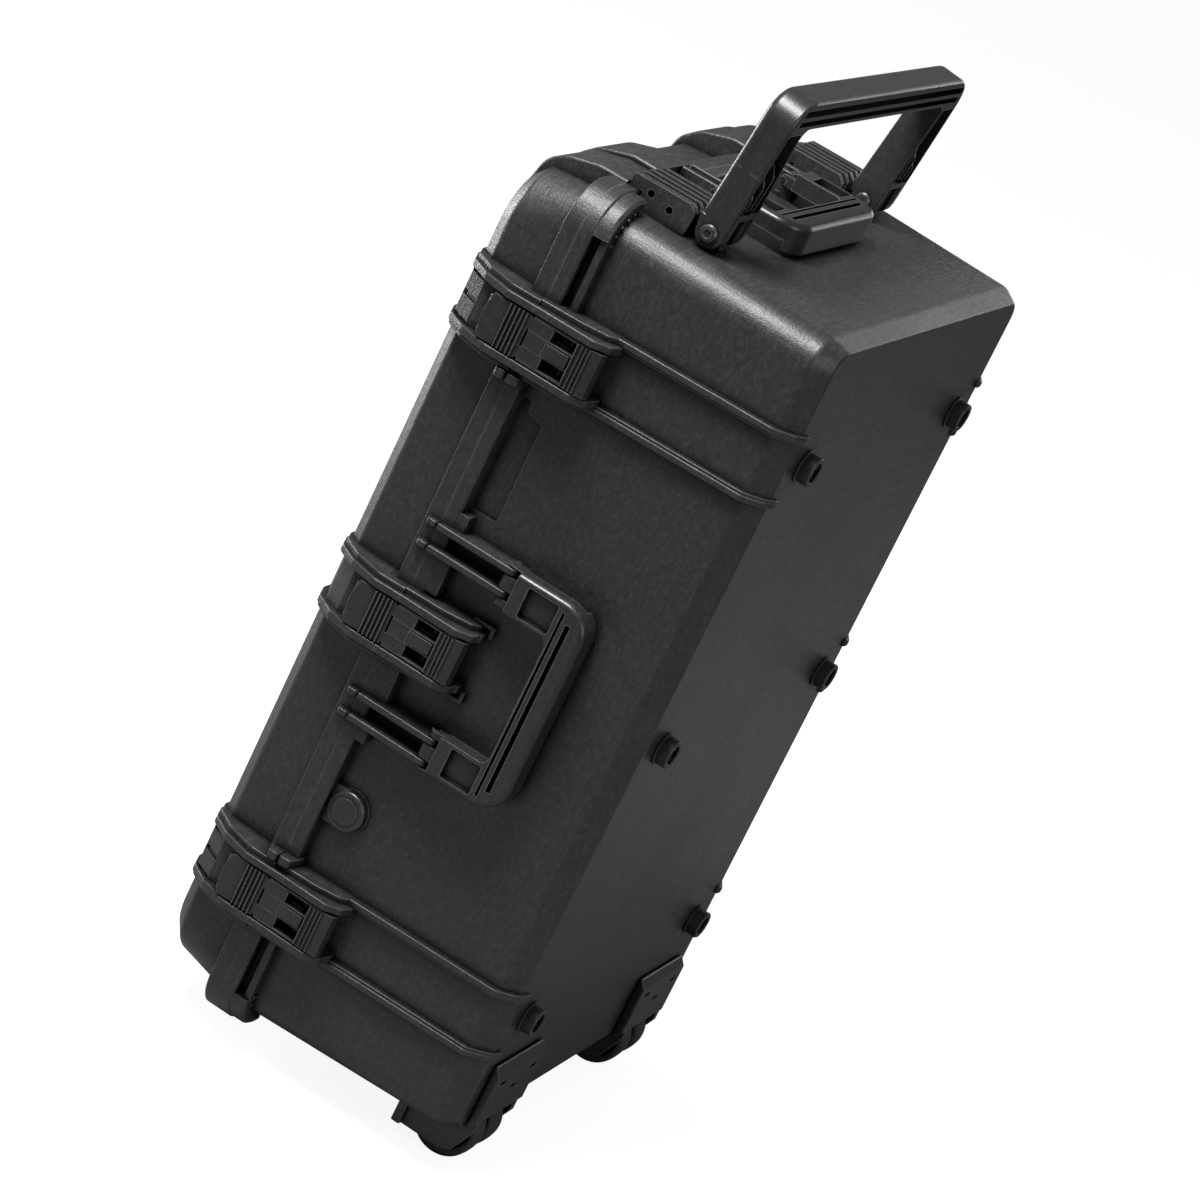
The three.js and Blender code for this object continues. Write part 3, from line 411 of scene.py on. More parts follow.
def moulded(name, colour, roughness, grain=1.0, streaks=1.0, edge_wear_and_highlight=1.0, metallic=0.0, specular=0.5):
    """Moulded plastic, rubber or metal: grain, flow streaks, cloudy roughness, edges paled partly by wear and
    partly as painted highlight, crevices darkened as painted shade.
    """
    material = bpy.data.materials.new(name)
    material.use_nodes = True
    tree = material.node_tree
    shader = tree.nodes["Principled BSDF"]
    shader.inputs["Metallic"].default_value = metallic
    where = node(tree, "ShaderNodeTexCoord").outputs["Object"]

    cloud = noise(tree, where, 9, detail=4)
    speck = noise(tree, where, 620, detail=2)
    flow = noise(tree, where, 240, stretch=(0.16, 1, 1), detail=5, turn=(0, 0.35, 0.25))
    swirl = noise(tree, where, 330, stretch=(1, 0.2, 0.45), detail=6, turn=(0.6, 0.2, 0.3))
    # painted shade: an ambient occlusion mask, 0 in crevices and between parts, 1 in the open
    painted_shade_openness = node(tree, "ShaderNodeAmbientOcclusion", samples=4, Distance=0.010).outputs["AO"]
    painted_shade_openness = ranged(tree, painted_shade_openness, 0.0, 1.0, 0.35, 0.95)
    # edge paling: partly wear, partly painted highlight on the rounded edges
    pale_edges_wear_and_highlight = product(tree, edge_mask(tree, 0.0011), ranged(tree, cloud, 0.45 * edge_wear_and_highlight, 1.0 * edge_wear_and_highlight))
    pale_edges_wear_and_highlight = product(tree, pale_edges_wear_and_highlight, painted_shade_openness)

    pale = tuple(min(1, c * 1.7 + 0.008) for c in colour)
    dark = tuple(c * 0.84 for c in colour)
    base = blended(tree, ranged(tree, cloud, 0, 1), dark, colour)
    base = blended(tree, ranged(tree, speck, 0, 0.35, 0.45, 0.75), base, pale)
    base = blended(tree, ranged(tree, swirl, 0, 0.8 * min(1, streaks), 0.46, 0.70), base, pale)
    # painted highlight and wear: edges paled towards five times the colour
    base = blended(tree, pale_edges_wear_and_highlight, base, tuple(min(1, c * 5 + 0.10) for c in colour))
    # painted shade: crevices and gaps darkened towards a tenth of the colour
    base = blended(tree, painted_shade_openness, tuple(c * 0.12 for c in colour), base)
    tree.links.new(base, shader.inputs["Base Color"])
    # painted shade: specular dimmed in crevices so they go black
    tree.links.new(ranged(tree, painted_shade_openness, 0.12 * specular, specular, 0, 1),
        shader.inputs["Specular IOR Level"])

    mixed = node(tree, "ShaderNodeMath", operation="ADD")
    tree.links.new(ranged(tree, flow, -0.04 * streaks, 0.04 * streaks), mixed.inputs[0])
    tree.links.new(ranged(tree, cloud, roughness - 0.03, roughness + 0.03), mixed.inputs[1])
    polished = node(tree, "ShaderNodeMath", operation="MULTIPLY_ADD")
    tree.links.new(pale_edges_wear_and_highlight, polished.inputs[0])
    polished.inputs[1].default_value = -0.10
    tree.links.new(mixed.outputs[0], polished.inputs[2])
    tree.links.new(polished.outputs[0], shader.inputs["Roughness"])

    height = node(tree, "ShaderNodeMath", operation="MULTIPLY_ADD")
    tree.links.new(flow, height.inputs[0])
    height.inputs[1].default_value = 0.8 * streaks
    tree.links.new(speck, height.inputs[2])
    both = node(tree, "ShaderNodeMath", operation="MULTIPLY_ADD")
    tree.links.new(swirl, both.inputs[0])
    both.inputs[1].default_value = 1.1 * streaks
    tree.links.new(height.outputs[0], both.inputs[2])
    bump = node(tree, "ShaderNodeBump", Strength=0.36 * grain, Distance=0.0005)
    tree.links.new(both.outputs[0], bump.inputs["Height"])
    tree.links.new(bump.outputs["Normal"], shader.inputs["Normal"])
    return material


SHELL = moulded("moulded_shell", (0.020, 0.0205, 0.0215), 0.42, grain=1.5, streaks=1.2)
TRIM = moulded("moulded_trim", (0.018, 0.0183, 0.019), 0.33, grain=0.6, streaks=0.6, edge_wear_and_highlight=1.4)
RUBBER = moulded("foot_rubber", (0.018, 0.018, 0.018), 0.52, grain=0.8, streaks=0.3, edge_wear_and_highlight=0.6)
TYRE = moulded("wheel_tyre", (0.019, 0.019, 0.020), 0.46, grain=0.7, streaks=0.4, edge_wear_and_highlight=0.8)
SEAL = moulded("seal_rubber", (0.010, 0.010, 0.010), 0.62, grain=0.5, streaks=0.2, edge_wear_and_highlight=0.3)
STEEL = moulded("plated_steel", (0.42, 0.42, 0.43), 0.30, grain=0.3, streaks=1.2, edge_wear_and_highlight=0.4, metallic=1.0)
BLACK_STEEL = moulded("black_steel", (0.05, 0.05, 0.052), 0.34, grain=0.3, streaks=0.8, metallic=0.6)


# ---------------------------------------------------------------- shells


def tub(profile, half_y, half_z, depth_of, draft, corner, end_share):
    """A thin-walled tub from its wall section of (x, inset, wall); corner(x) is the plan radius at that x.

    The end walls' chamfer is end_share of the long walls' one.
    """
    rings = []
    for x, inset, wall in profile:
        spread = draft * depth_of(x)
        along_z = wall + (inset - wall) * end_share
        radius = max(corner(x) - max(along_z, inset * 0.55), 4)
        rings.append(rounded_ring(half_y + spread - inset, half_z + spread - along_z, radius, x, steps=14))
    return loft(rings)


def chamfered_section(face_x, rim_x, chamfer, soft=7):
    """Wall section from the middle of the closed face, over the chamfer, to the rim and back inside."""
    away = 1 if rim_x > face_x else -1
    outer = rounded(
        [(face_x, 70), (face_x, chamfer), (face_x + away * chamfer, 0), (rim_x, 0)], soft, 5, closed=False,
    )
    inside = face_x + away * WALL
    inner = rounded(
        [(rim_x, WALL), (inside + away * chamfer, WALL), (inside, WALL + chamfer), (inside, 70)], soft, 4,
        closed=False,
    )
    return [(x, inset, 0) for x, inset in outer] + [(x, inset, WALL) for x, inset in inner]


def tub_room(section, *shape):
    """The room inside a tub, a millimetre into its walls, which clears the feet of the ribs from it."""
    inside = [(x, inset - 1, wall - 1) for x, inset, wall in section if wall]
    away = 1 if inside[-1][0] > inside[0][0] else -1
    inside = [(x + away, inset, wall) for x, inset, wall in inside]
    x, inset, wall = inside[0]
    return tub([(x - away * 8, inset, wall)] + inside, *shape)


def rib(outline, low, high, side=1, soft=1.4, radius=5):
    """A rib drawn in x and y for the latch side, with its end at the parting line left sharp.

    Side -1 mirrors it to the hinge side.
    """
    points = rounded([(x, y * side) for x, y in outline], radius, keep=lambda p: abs(p[0] - PARTING_X) < 0.6)
    return prism(points, "z", low, high, soft, 3, lambda p: abs(p.x - PARTING_X) > 0.6)


def both_sides(station, low, high):
    return ((station + low, station + high), (station - high, station - low))


def handle_bracket(pivot_x, inside_x):
    """The ribs that carry a handle's arms, in the handle's frame, with a low web between each pair."""
    back = PARTING_X - pivot_x
    foot = -CARRY_OUT - 3
    outline = [(back, foot), (10, foot), (7.5, -6)] + circle(7.5, 12, (0, 0), -0.6,
        math.pi / 2) + [(back, 7.5)]
    parts = []
    for low, high in BRACKET_RIBS:
        for a, b in ((low, high), (-high, -low)):
            parts.append(prism(outline, "y", a, b, 1.5, 3))
    for side in (-1, 1):
        y = sorted((side * 69, side * 98))
        parts.append(block((back + 3, back + 7), y, (foot, -4), 1.0))
        parts.append(block((inside_x - 6, inside_x), y, (foot, -12), 1.0))
    return parts


FRONT_HANDLE = Matrix.Translation((FRONT_PIVOT_X, -(wall_y(FRONT_PIVOT_X) + CARRY_OUT), 0)) @ Matrix.Rotation(
    math.pi / 2, 4, "X")
END_HANDLE = Matrix.Translation((END_PIVOT_X, 0, wall_z(END_PIVOT_X) + CARRY_OUT))


def latch_ribs(z, side, full):
    """Tall inner ribs beside a latch with a lower step outside, and the beads down the wall."""
    tall = [(PARTING_X, -243), (PARTING_X, -278.6), (-177, LATCH_FACE_Y), (-164, -271), (-160, -258),
        (-160, -243)]
    step = [(PARTING_X, -243), (PARTING_X, -272), (-196, -270), (-172, -264), (-166, -256), (-164, -243)]
    edge = BASE_CHAMFER
    bead = [
        (-186, -243), (-184, -257.5), (-160, -255.5), (-edge - 2, -250), (-2, -250 + edge * 0.9),
        (4, -BASE_HALF_Y + edge + 4), (4, -BASE_HALF_Y + edge + 11), (-5, -BASE_HALF_Y + edge + 11),
        (-edge - 6, -238),
    ]
    parts = []
    for low, high in both_sides(z, RIB_INNER, RIB_STEP):
        parts.append(rib(tall, low, high, side, 1.3, 7))
    for low, high in both_sides(z, RIB_STEP - 1, RIB_OUTER):
        parts.append(rib(step, low, high, side, 1.1, 5))
    if full:
        for low, high in both_sides(z, RIB_OUTER - 5.6, RIB_OUTER):
            parts.append(rib(bead, low, high, side, 1.1, 5))
        low_bead = [(x, y + 1.6 if y < -230 else y) for x, y in bead]
        for low, high in both_sides(z, RIB_OUTER - 8, RIB_OUTER - 5):
            parts.append(rib(low_bead, low, high, side, 0.8, 5))
    return parts


def corner_teeth(x):
    """Small teeth under the base's rim around each corner."""
    parts = []
    for sy in (-1, 1):
        for sz in (-1, 1):
            centre = Vector((0, sy * (RIM_HALF_Y - CORNER_R), sz * (RIM_HALF_Z - CORNER_R)))
            for k in range(6):
                angle = math.atan2(sz, sy) + math.radians(-40 + 16 * k)
                tooth = block((x - 1, x + 2), (CORNER_R - 4, CORNER_R + 5), (-1.3, 1.3), 0.5)
                tooth.data.transform(Matrix.Translation(centre) @ Matrix.Rotation(angle, 4, "X"))
                parts.append(tooth)
    return parts


def base_rim():
    lip = [
        (-4, PARTING_X), (FLANGE_OUT, PARTING_X), (FLANGE_OUT, PARTING_X + 10), (FLANGE_OUT - 1.5,
            PARTING_X + 12),
        (-4, PARTING_X + 12),
    ]
    band_x, bar_x = PARTING_X + 26, (PARTING_X + 19, PARTING_X + 26)
    band = [(-4, PARTING_X + 3), (12.6, PARTING_X + 3), (12.6, band_x - 3), (10, band_x), (-4, band_x)]
    bar = [(-4, bar_x[0]), (8.5, bar_x[0]), (9, bar_x[1]), (-4, bar_x[1] + 1)]
    corner_z = RIM_HALF_Z - CORNER_R + 6
    corners = merged(
        [rim_ring(rounded(band, 1.8))],
        [
            block((PARTING_X - 1, PARTING_X + 40), (-320, 320), (-corner_z, corner_z), 0),
            block((PARTING_X - 1, PARTING_X + 40), (-214, 214), (-500, 500), 0),
        ],
    )
    along = STATIONS["upper"] + RIB_OUTER
    bars = merged(
        [rim_ring(rounded(bar, 1.4))],
        [
            block((-230, -190), (-320, 320), (-along, along), 0),
            block((-230, -190), (-RIM_HALF_Y + 20, RIM_HALF_Y - 20), (-500, 500), 0),
        ],
    )
    return [rim_ring(rounded(lip, 0.9, keep=lambda p: p[1] == PARTING_X)), bars, corners,
        *corner_teeth(band_x)]


def base_knuckle(z):
    x, y = HINGE_AXIS
    parts = []
    for low, high in both_sides(z, 12, 24):
        parts.append(rod("z", (x, y), low, high, 8, 0.8))
        parts.append(block((PARTING_X, -221), (250, y + 2), (low, high), 1.2))
    return parts


def skids():
    bottom = -ORIGIN.z / MM
    outline = [
        (PARTING_X + 3, bottom), (-196, bottom), (-190, bottom + 6), (-186, -388), (PARTING_X, -394),
        (PARTING_X, bottom + 3),
    ]
    return [prism(rounded(outline, 2), "y", low, high, 1.5, 3) for low, high in ((-110, -62), (62, 110))]


def base_shell():
    corner = lambda x: CORNER_R
    section = chamfered_section(0, PARTING_X, BASE_CHAMFER)
    shape = (BASE_HALF_Y, BASE_HALF_Z, lambda x: -x, BASE_DRAFT, corner, 0.42)
    parts = [tub(section, *shape)] + base_rim() + skids()
    ribs = []
    for name, z in STATIONS.items():
        outer = name != "middle"
        ribs += latch_ribs(z, 1, outer)
        parts += base_knuckle(z)
        back = [
            (PARTING_X, -243), (PARTING_X, FLANGE_Y), (-222, FLANGE_Y), (-210, -256), (-18, -250.5),
            (-2, -236), (4, -223), (4, -215), (-5, -215), (-22, -238),
        ]
        for low, high in both_sides(z, RIB_INNER, 29):
            ribs.append(rib(back, low, high, -1, 2.2, 6))
    # short corner stops behind the middle latch's tail
    for low, high in both_sides(0, 27, 37):
        parts.append(block((-158, -154.5), (-253.6, -243), (low, high), 0.8))
    for low, high in both_sides(0, RIB_OUTER, 37):
        parts.append(block((-176, -154.5), (-253.6, -243), (low, high), 0.8))
    for side in (-1, 1):
        # stepped blocks between the middle latch and the handle's ribs, and padlock lugs by the outer latches
        for low, high, foot in ((RIB_OUTER + 2.5, 70.5, -212), (96.5, 112, -214)):
            z = sorted((side * low, side * high))
            ribs.append(block((PARTING_X + 8, foot), (FLANGE_Y + 1, -243), z, 1.0))
        z = sorted((side * 234, side * 242.5))
        parts.append(prism(
            rounded([(PARTING_X, -250), (PARTING_X, -277), (-223, -275), (-219, -250)], 4), "z", *z, 1.4, 3))
    parts.append(merged(ribs, [tub_room(section, *shape)]))
    parts += moved(handle_bracket(FRONT_PIVOT_X, 0), FRONT_HANDLE)
    parts += moved(handle_bracket(END_PIVOT_X, 0), END_HANDLE)
    parts.append(rod("y", (VALVE_X, VALVE_Z), -250.6, -240, VALVE_R + 2.5, 1.0, 64))
    parts.append(block((PARTING_X + 8, VALVE_X), (-255, -240), (VALVE_Z - VALVE_R, VALVE_Z + VALVE_R), 1.0))
    for y in (-FOOT_Y, FOOT_Y):
        for z in (-FOOT_Z, 0, FOOT_Z):
            parts.append(rod("x", (y, z), -14, -3, 8, 0.8))
    for side in (-1, 1):
        y = sorted((side * 113, side * 208))
        parts.append(block((-64, -2), y, (-BASE_HALF_Z + 2, WHEEL_WELL_Z + 4), 1.5))

    cutters = [
        prism(rounded([(-222.4, 116), (-222.4, 224), (-213, 224), (-213, 213), (-196.5, 209), (-196.5, 116)],
            4, 6),
              "y", -262, -(wall_y(-213) - 3.6), 0),
        rod("y", (VALVE_X, VALVE_Z), -262, -250.6, VALVE_R + 0.5, 0, 64),
        rod("y", (VALVE_X, VALVE_Z), -262, -230, 8, 0),
        prism(circle(HINGE_PIN_HOLE, 24, HINGE_AXIS), "z", -310, 310, 0),
    ]
    for side in (-1, 1):
        y = sorted((side * 117, side * 204))
        cutters.append(block((-60, 30), y, (-BASE_HALF_Z - 30, WHEEL_WELL_Z), 0))
    for y in (-FOOT_Y, FOOT_Y):
        for z in (-FOOT_Z, 0, FOOT_Z):
            cutters.append(rod("x", (y, z), -11, 5, 3.3, 0))
    for z in STATIONS.values():
        cutters.append(rod("z", LEVER_PIVOT, z - 27.6, z + 27.6, 3.4, 0))
    for place in (FRONT_HANDLE, END_HANDLE):
        cutters += moved([rod("y", (0, 0), -100, 100, CARRY_PIN_HOLE, 0)], place)
    piece("base_shell_skin", "base", "shell_black", SHELL, parts, cutters, ["base_shell"])


def lid_pad(side, near, far, height):
    """A pad on the lid's upper end that rolls over onto the lid's face."""
    foot = RIM_HALF_Z - 14
    outline = [
        (LID_FACE_X, foot), (LID_FACE_X, RIM_HALF_Z + height), (-262, RIM_HALF_Z + height),
        (-292, RIM_HALF_Z + height * 0.6), (-309, RIM_HALF_Z - 2), (LID_TOP_X - 1.5, RIM_HALF_Z - 24),
        (LID_TOP_X - 1.5, foot - 34), (LID_TOP_X + 6, foot - 34),
    ]
    points = rounded(outline, 24, 8, keep=lambda p: p[0] == LID_FACE_X)
    return prism(points, "y", *sorted((side * near, side * far)), 5, 6, lambda p: p.x < LID_FACE_X - 0.5)


def lid_knuckle(z):
    x, y = HINGE_AXIS
    return [
        rod("z", (x, y), z - 11.4, z + 11.4, 8, 0.8),
        block((LID_FACE_X - 13, LID_FACE_X), (250, y + 2), (z - 11.4, z + 11.4), 1.2),
    ]


def castellation(z):
    """The seat's outer end over the lid's edge, with a notch in the middle and one beside each rib."""
    cap = [(-283, -250), (-283, -262.5), (-290, -262.5), (-308.5, -250), (-314.5, -234), (-309, -230),
        (-303, -245)]
    cuts = [(-2.6, 2.6), (-RIB_INNER - 1, -18.4), (18.4, RIB_INNER + 1)]
    notches = [block((-325, -290), (-280, -226), (z + low, z + high), 0) for low, high in cuts]
    return merged([rib(cap, z - RIB_INNER, z + RIB_INNER, 1, 0.7, 2)], notches)


def lid_shell():
    corner = lambda x: CORNER_R + LID_CORNER_GROWTH * (LID_FACE_X - x) / LID_DEPTH
    section = chamfered_section(LID_TOP_X, LID_FACE_X, LID_CHAMFER)
    shape = (RIM_HALF_Y, RIM_HALF_Z, lambda x: x - LID_FACE_X, LID_DRAFT, corner, 1.0)
    band = [
        (-4, LID_FACE_X), (FLANGE_OUT, LID_FACE_X), (FLANGE_OUT, LID_FACE_X - LID_BAND),
        (-6, LID_FACE_X - LID_BAND - 2),
    ]
    shell = [tub(section, *shape), rim_ring(rounded(band, 1.4, keep=lambda p: p[1] == LID_FACE_X))]
    parts = []
    tall = [
        (LID_FACE_X, -240), (LID_FACE_X, LATCH_FACE_Y + 0.5), (-262, LATCH_FACE_Y), (-290, -268), (-311,
            -250),
        (-318, -230), (-318, -206), (-308, -206), (-300, -236),
    ]
    low_step = [(x, y + 5) if y < -235 else (x + 1.8, y) for x, y in tall]
    for name, z in STATIONS.items():
        for side in (1, -1):
            cap = 0 if side > 0 else 14
            clipped = [(x, max(y, LATCH_FACE_Y + cap)) for x, y in tall]
            for low, high in both_sides(z, RIB_INNER, RIB_STEP):
                parts.append(rib(clipped, low, high, side, 1.3, 10))
            clipped = [(x, max(y, LATCH_FACE_Y + cap + 5)) for x, y in low_step]
            for low, high in both_sides(z, RIB_STEP - 1, RIB_OUTER - 0.5):
                parts.append(rib(clipped, low, high, side, 1.1, 9))
        seat = [(LID_FACE_X, -240), (LID_FACE_X, -263), (-286, -263), (-304, -251), (-309, -236),
            (-300, -234)]
        parts.append(rib(seat, z - RIB_INNER - 1, z + RIB_INNER + 1, 1, 0.6, 4))
        if name != "middle":
            parts.append(castellation(z))
        parts += lid_knuckle(z)
    for side in (-1, 1):
        parts.append(lid_pad(side, 142, 206, 17))
        parts.append(lid_pad(side, 78, 144, 22))
        for low, high in BRACKET_RIBS:
            z = sorted((side * low, side * high))
            lug = [(LID_FACE_X, -250), (LID_FACE_X, -271), (LID_FACE_X - 10, -270), (LID_FACE_X - 16, -250)]
            parts.append(prism(rounded(lug, 4), "z", *z, 1.6, 3))
        z = sorted((side * 234, side * 242.5))
        lug = [(LID_FACE_X, -250), (LID_FACE_X, -277), (LID_FACE_X - 10, -276), (LID_FACE_X - 17, -250)]
        parts.append(prism(rounded(lug, 4), "z", *z, 1.4, 3))
    parts = [*shell, merged(parts, [tub_room(section, *shape)])]
    groove = [(1.3, LID_FACE_X - 4.4), (7.7, LID_FACE_X - 4.4), (7.7, LID_FACE_X + 5), (1.3, LID_FACE_X + 5)]
    cutters = [rim_ring(groove), prism(circle(HINGE_PIN_HOLE, 24, HINGE_AXIS), "z", -310, 310, 0)]
    piece("lid_shell_skin", "lid", "shell_black", SHELL, parts, cutters, ["lid_shell"])


# ---------------------------------------------------------------- latches


def latch_hook(name, z):
    tip = circle(62, 10, (-276 + 62, 0), math.pi - 0.335, math.pi + 0.335)
    plan = [(LEVER_PIVOT[0] - 8.6, -LATCH_HALF + 0.2), (LEVER_PIVOT[0] - 8.6, LATCH_HALF - 0.2)]
    plan += [(x, y) for x, y in tip]
    face = LATCH_FACE_Y + 2.1
    parts = [prism(plan, "y", face, LATCH_FACE_Y + 6, 0.9, 2)]
    lip = [(-276, -274.5), (-264, -276), (-262, -270), (-272, -266), (-277, -268)]
    parts.append(prism(rounded(lip, 2), "z", -17, 17, 0.8))
    for i in range(5):
        x = -254.6 + i * 4.1
        ridge = [(x - 1.2, face + 1), (x - 0.8, LATCH_FACE_Y), (x + 0.4, LATCH_FACE_Y), (x + 0.9, face + 1)]
        parts.append(prism(rounded(ridge, 0.25, 2), "z", -LATCH_HALF + 0.6, LATCH_HALF - 0.6, 0.15))
    arm = [(-244, -277), (-238, face), (-212, face), (-211.5, -271.4), (-215, -265), (-240, -265)]
    link = [(-222, -271.4), (HOOK_PIVOT[0], -271.4)]
    link += circle(3.9, 10, HOOK_PIVOT, -math.pi / 2, math.pi / 2)[1:] + [(-222, -264.6)]
    for low, high in both_sides(0, 8, 17.8):
        parts.append(prism(arm, "z", low, high, 0.35, 2))
    for low, high in both_sides(0, 8, 10):
        parts.append(prism(link, "z", low, high, 0.3, 2))
    cutters = [rod("z", HOOK_PIVOT, -30, 30, 2.5, 0)]
    piece(f"latch_hook_{name}_skin", f"hook_{name}", "trim_black", TRIM, parts, cutters,
          [f"latch_hook_{name}"], Matrix.Translation((0, 0, z)))


def latch_lever(name, z):
    face = LATCH_FACE_Y + 1.7
    start_x, tail_x, slot_end = LEVER_PIVOT[0] - 7.6, -165, -190
    grip = [
        (slot_end - 1, face + 5), (slot_end + 0.5, face), (-172, face), (tail_x - 1.5, face + 1.6), (tail_x,
            -272),
        (tail_x, -266), (tail_x - 5, -262.5), (-183, -266.5), (-188, -274),
    ]
    front = [(start_x + 1.5, face + 5), (start_x, face + 2.5), (start_x + 1, face), (-213, face),
        (-213, face + 5)]
    strip = [(start_x + 6, face), (slot_end + 4, face), (slot_end + 4, face + 5), (start_x + 4, face + 5)]
    parts = [
        prism(rounded(grip, 1.4, 4), "z", -LATCH_HALF, LATCH_HALF, 0.9),
        prism(rounded(front, 1, 3), "z", -LATCH_HALF, LATCH_HALF, 0.7),
    ]
    for low, high in both_sides(0, 18.3, LATCH_HALF):
        parts.append(prism(strip, "z", low, high, 0.5))
        wall = [(-226, face + 0.4), (-184, face + 0.4), (-188, -263.6), (-202, -263.6), (-210, -266),
            (-226, -266.5)]
        wall += circle(5, 10, LEVER_PIVOT, math.pi / 2, math.pi * 1.5)
        parts.append(prism(wall, "z", low, high, 0.4))
    for low, high in both_sides(0, 6.1, 7.5):
        parts.append(prism(strip, "z", low, high, 0.3))
    for low, high in both_sides(0, 19, 27):
        parts.append(rod("z", LEVER_PIVOT, low, high, 3, 0.4, 24))
    for x, width in ((-188, 1.5), (-183.5, 0.9), (-179.8, 0.9), (-176.2, 0.9)):
        ridge = [(x - width, face + 1), (x - width * 0.5, LATCH_FACE_Y), (x + width * 0.4, LATCH_FACE_Y),
                 (x + width * 0.9, face + 1)]
        parts.append(prism(rounded(ridge, 0.3, 3), "z", -LATCH_HALF + 0.8, LATCH_HALF - 0.8, 0.2))
    cutters = [
        block((-240, -210.8), (-290, -272), (low, high), 0) for low, high in both_sides(0, 7.6, 18.3)
    ]
    cutters.append(block((-214, slot_end + 0.1), (-290, -260), (-5.9, 5.9), 0))
    cutters.append(rod("z", HOOK_PIVOT, -30, 30, 2.5, 0))
    piece(f"latch_lever_{name}_skin", f"lever_{name}", "trim_black", TRIM, parts, cutters,
          [f"latch_lever_{name}"], Matrix.Translation((0, 0, z)))


def latch_release(name, z):
    face = LATCH_FACE_Y + 0.5
    tongue = [(-213.6, -274.8), (-213.6, face + 1.2), (-211, face + 0.5), (-200, face), (-190.4, face + 0.4),
              (-190.4, -274.8)]
    parts = [prism(rounded(tongue, 1, 4), "z", -5.5, 5.5, 0.7)]
    piece(f"latch_release_{name}_skin", f"release_{name}", "trim_black", TRIM, parts, (),
          [f"latch_release_{name}"], Matrix.Translation((0, 0, z)))


# ---------------------------------------------------------------- handles


def carry_handle(name, body, place):
    half, reach, inner, grip = CARRY_HALF, CARRY_REACH, CARRY_ARM_INNER, CARRY_GRIP_X
    start = 10
    outer_arc = circle(CARRY_OUTER_R, 12, (reach - CARRY_OUTER_R, half - CARRY_OUTER_R), 0, math.pi / 2)
    shape = [(start, half)] + outer_arc[::-1]
    shape += [(x, -y) for x, y in outer_arc] + [(start, -half), (start, -inner)]
    shape += [(x, -y) for x, y in circle(8, 6, (grip - 8, inner - 8), math.pi / 2, 0)]
    shape += [(x, y) for x, y in circle(8, 6, (grip - 8, inner - 8), 0, math.pi / 2)] + [(start, inner)]
    bm = prism_mesh(shape, "z", CARRY_SKIRT, CARRY_TOP)
    outside = lambda p: p.z > CARRY_TOP - 0.5 and (p.x > reach - CARRY_OUTER_R or abs(p.y) > half - 0.5)
    soften(bm, 5.5, 6, outside)
    soften(bm, 1.2, 2)
    underside = prism([(start - 5, CARRY_SKIRT - 5), (reach - 11, CARRY_SKIRT - 5), (reach - 13, CARRY_UNDER),
                       (start - 5, CARRY_UNDER)], "y", -half - 5, half + 5, 0)
    parts = [merged([solid(bm)], [underside])]
    tine = [(14, CARRY_UNDER), (14, 7)] + circle(6.5, 12, (0, 0), math.pi / 2, math.pi * 1.5) + [(14, -6.5)]
    hook = [(14, CARRY_UNDER), (14, 6)] + circle(4.5, 10, (1, 1.5), math.pi / 2,
        math.pi * 1.4) + [(6, CARRY_UNDER)]
    for side in (-1, 1):
        parts.append(prism(tine, "y", *sorted((side * 76.8, side * 90.2)), 0.8))
        parts.append(prism(hook, "y", *sorted((side * 62.5, side * 69.2)), 0.8))
        parts.append(prism(hook, "y", *sorted((side * 97.7, side * half)), 0.5))
    cutters = []
    for low, high, end in CARRY_SLOTS:
        slot = rounded([(low, -end), (high, -end), (high, end), (low, end)], 1.4, 4)
        cutters.append(prism(slot, "z", CARRY_TOP - 9, CARRY_TOP + 5, 0))
    for side in (-1, 1):
        pocket = rounded([(23, side * 65), (53.5, side * 65), (53.5, side * 93), (23, side * 93)], 2, 4)
        cutters.append(prism(pocket, "z", CARRY_TOP - 6, CARRY_TOP + 5, 0))
    cutters.append(rod("y", (0, 0), -110, 110, CARRY_PIN_HOLE, 0))
    piece(f"{name}_skin", body, "trim_black", TRIM, parts, cutters, [name], place)


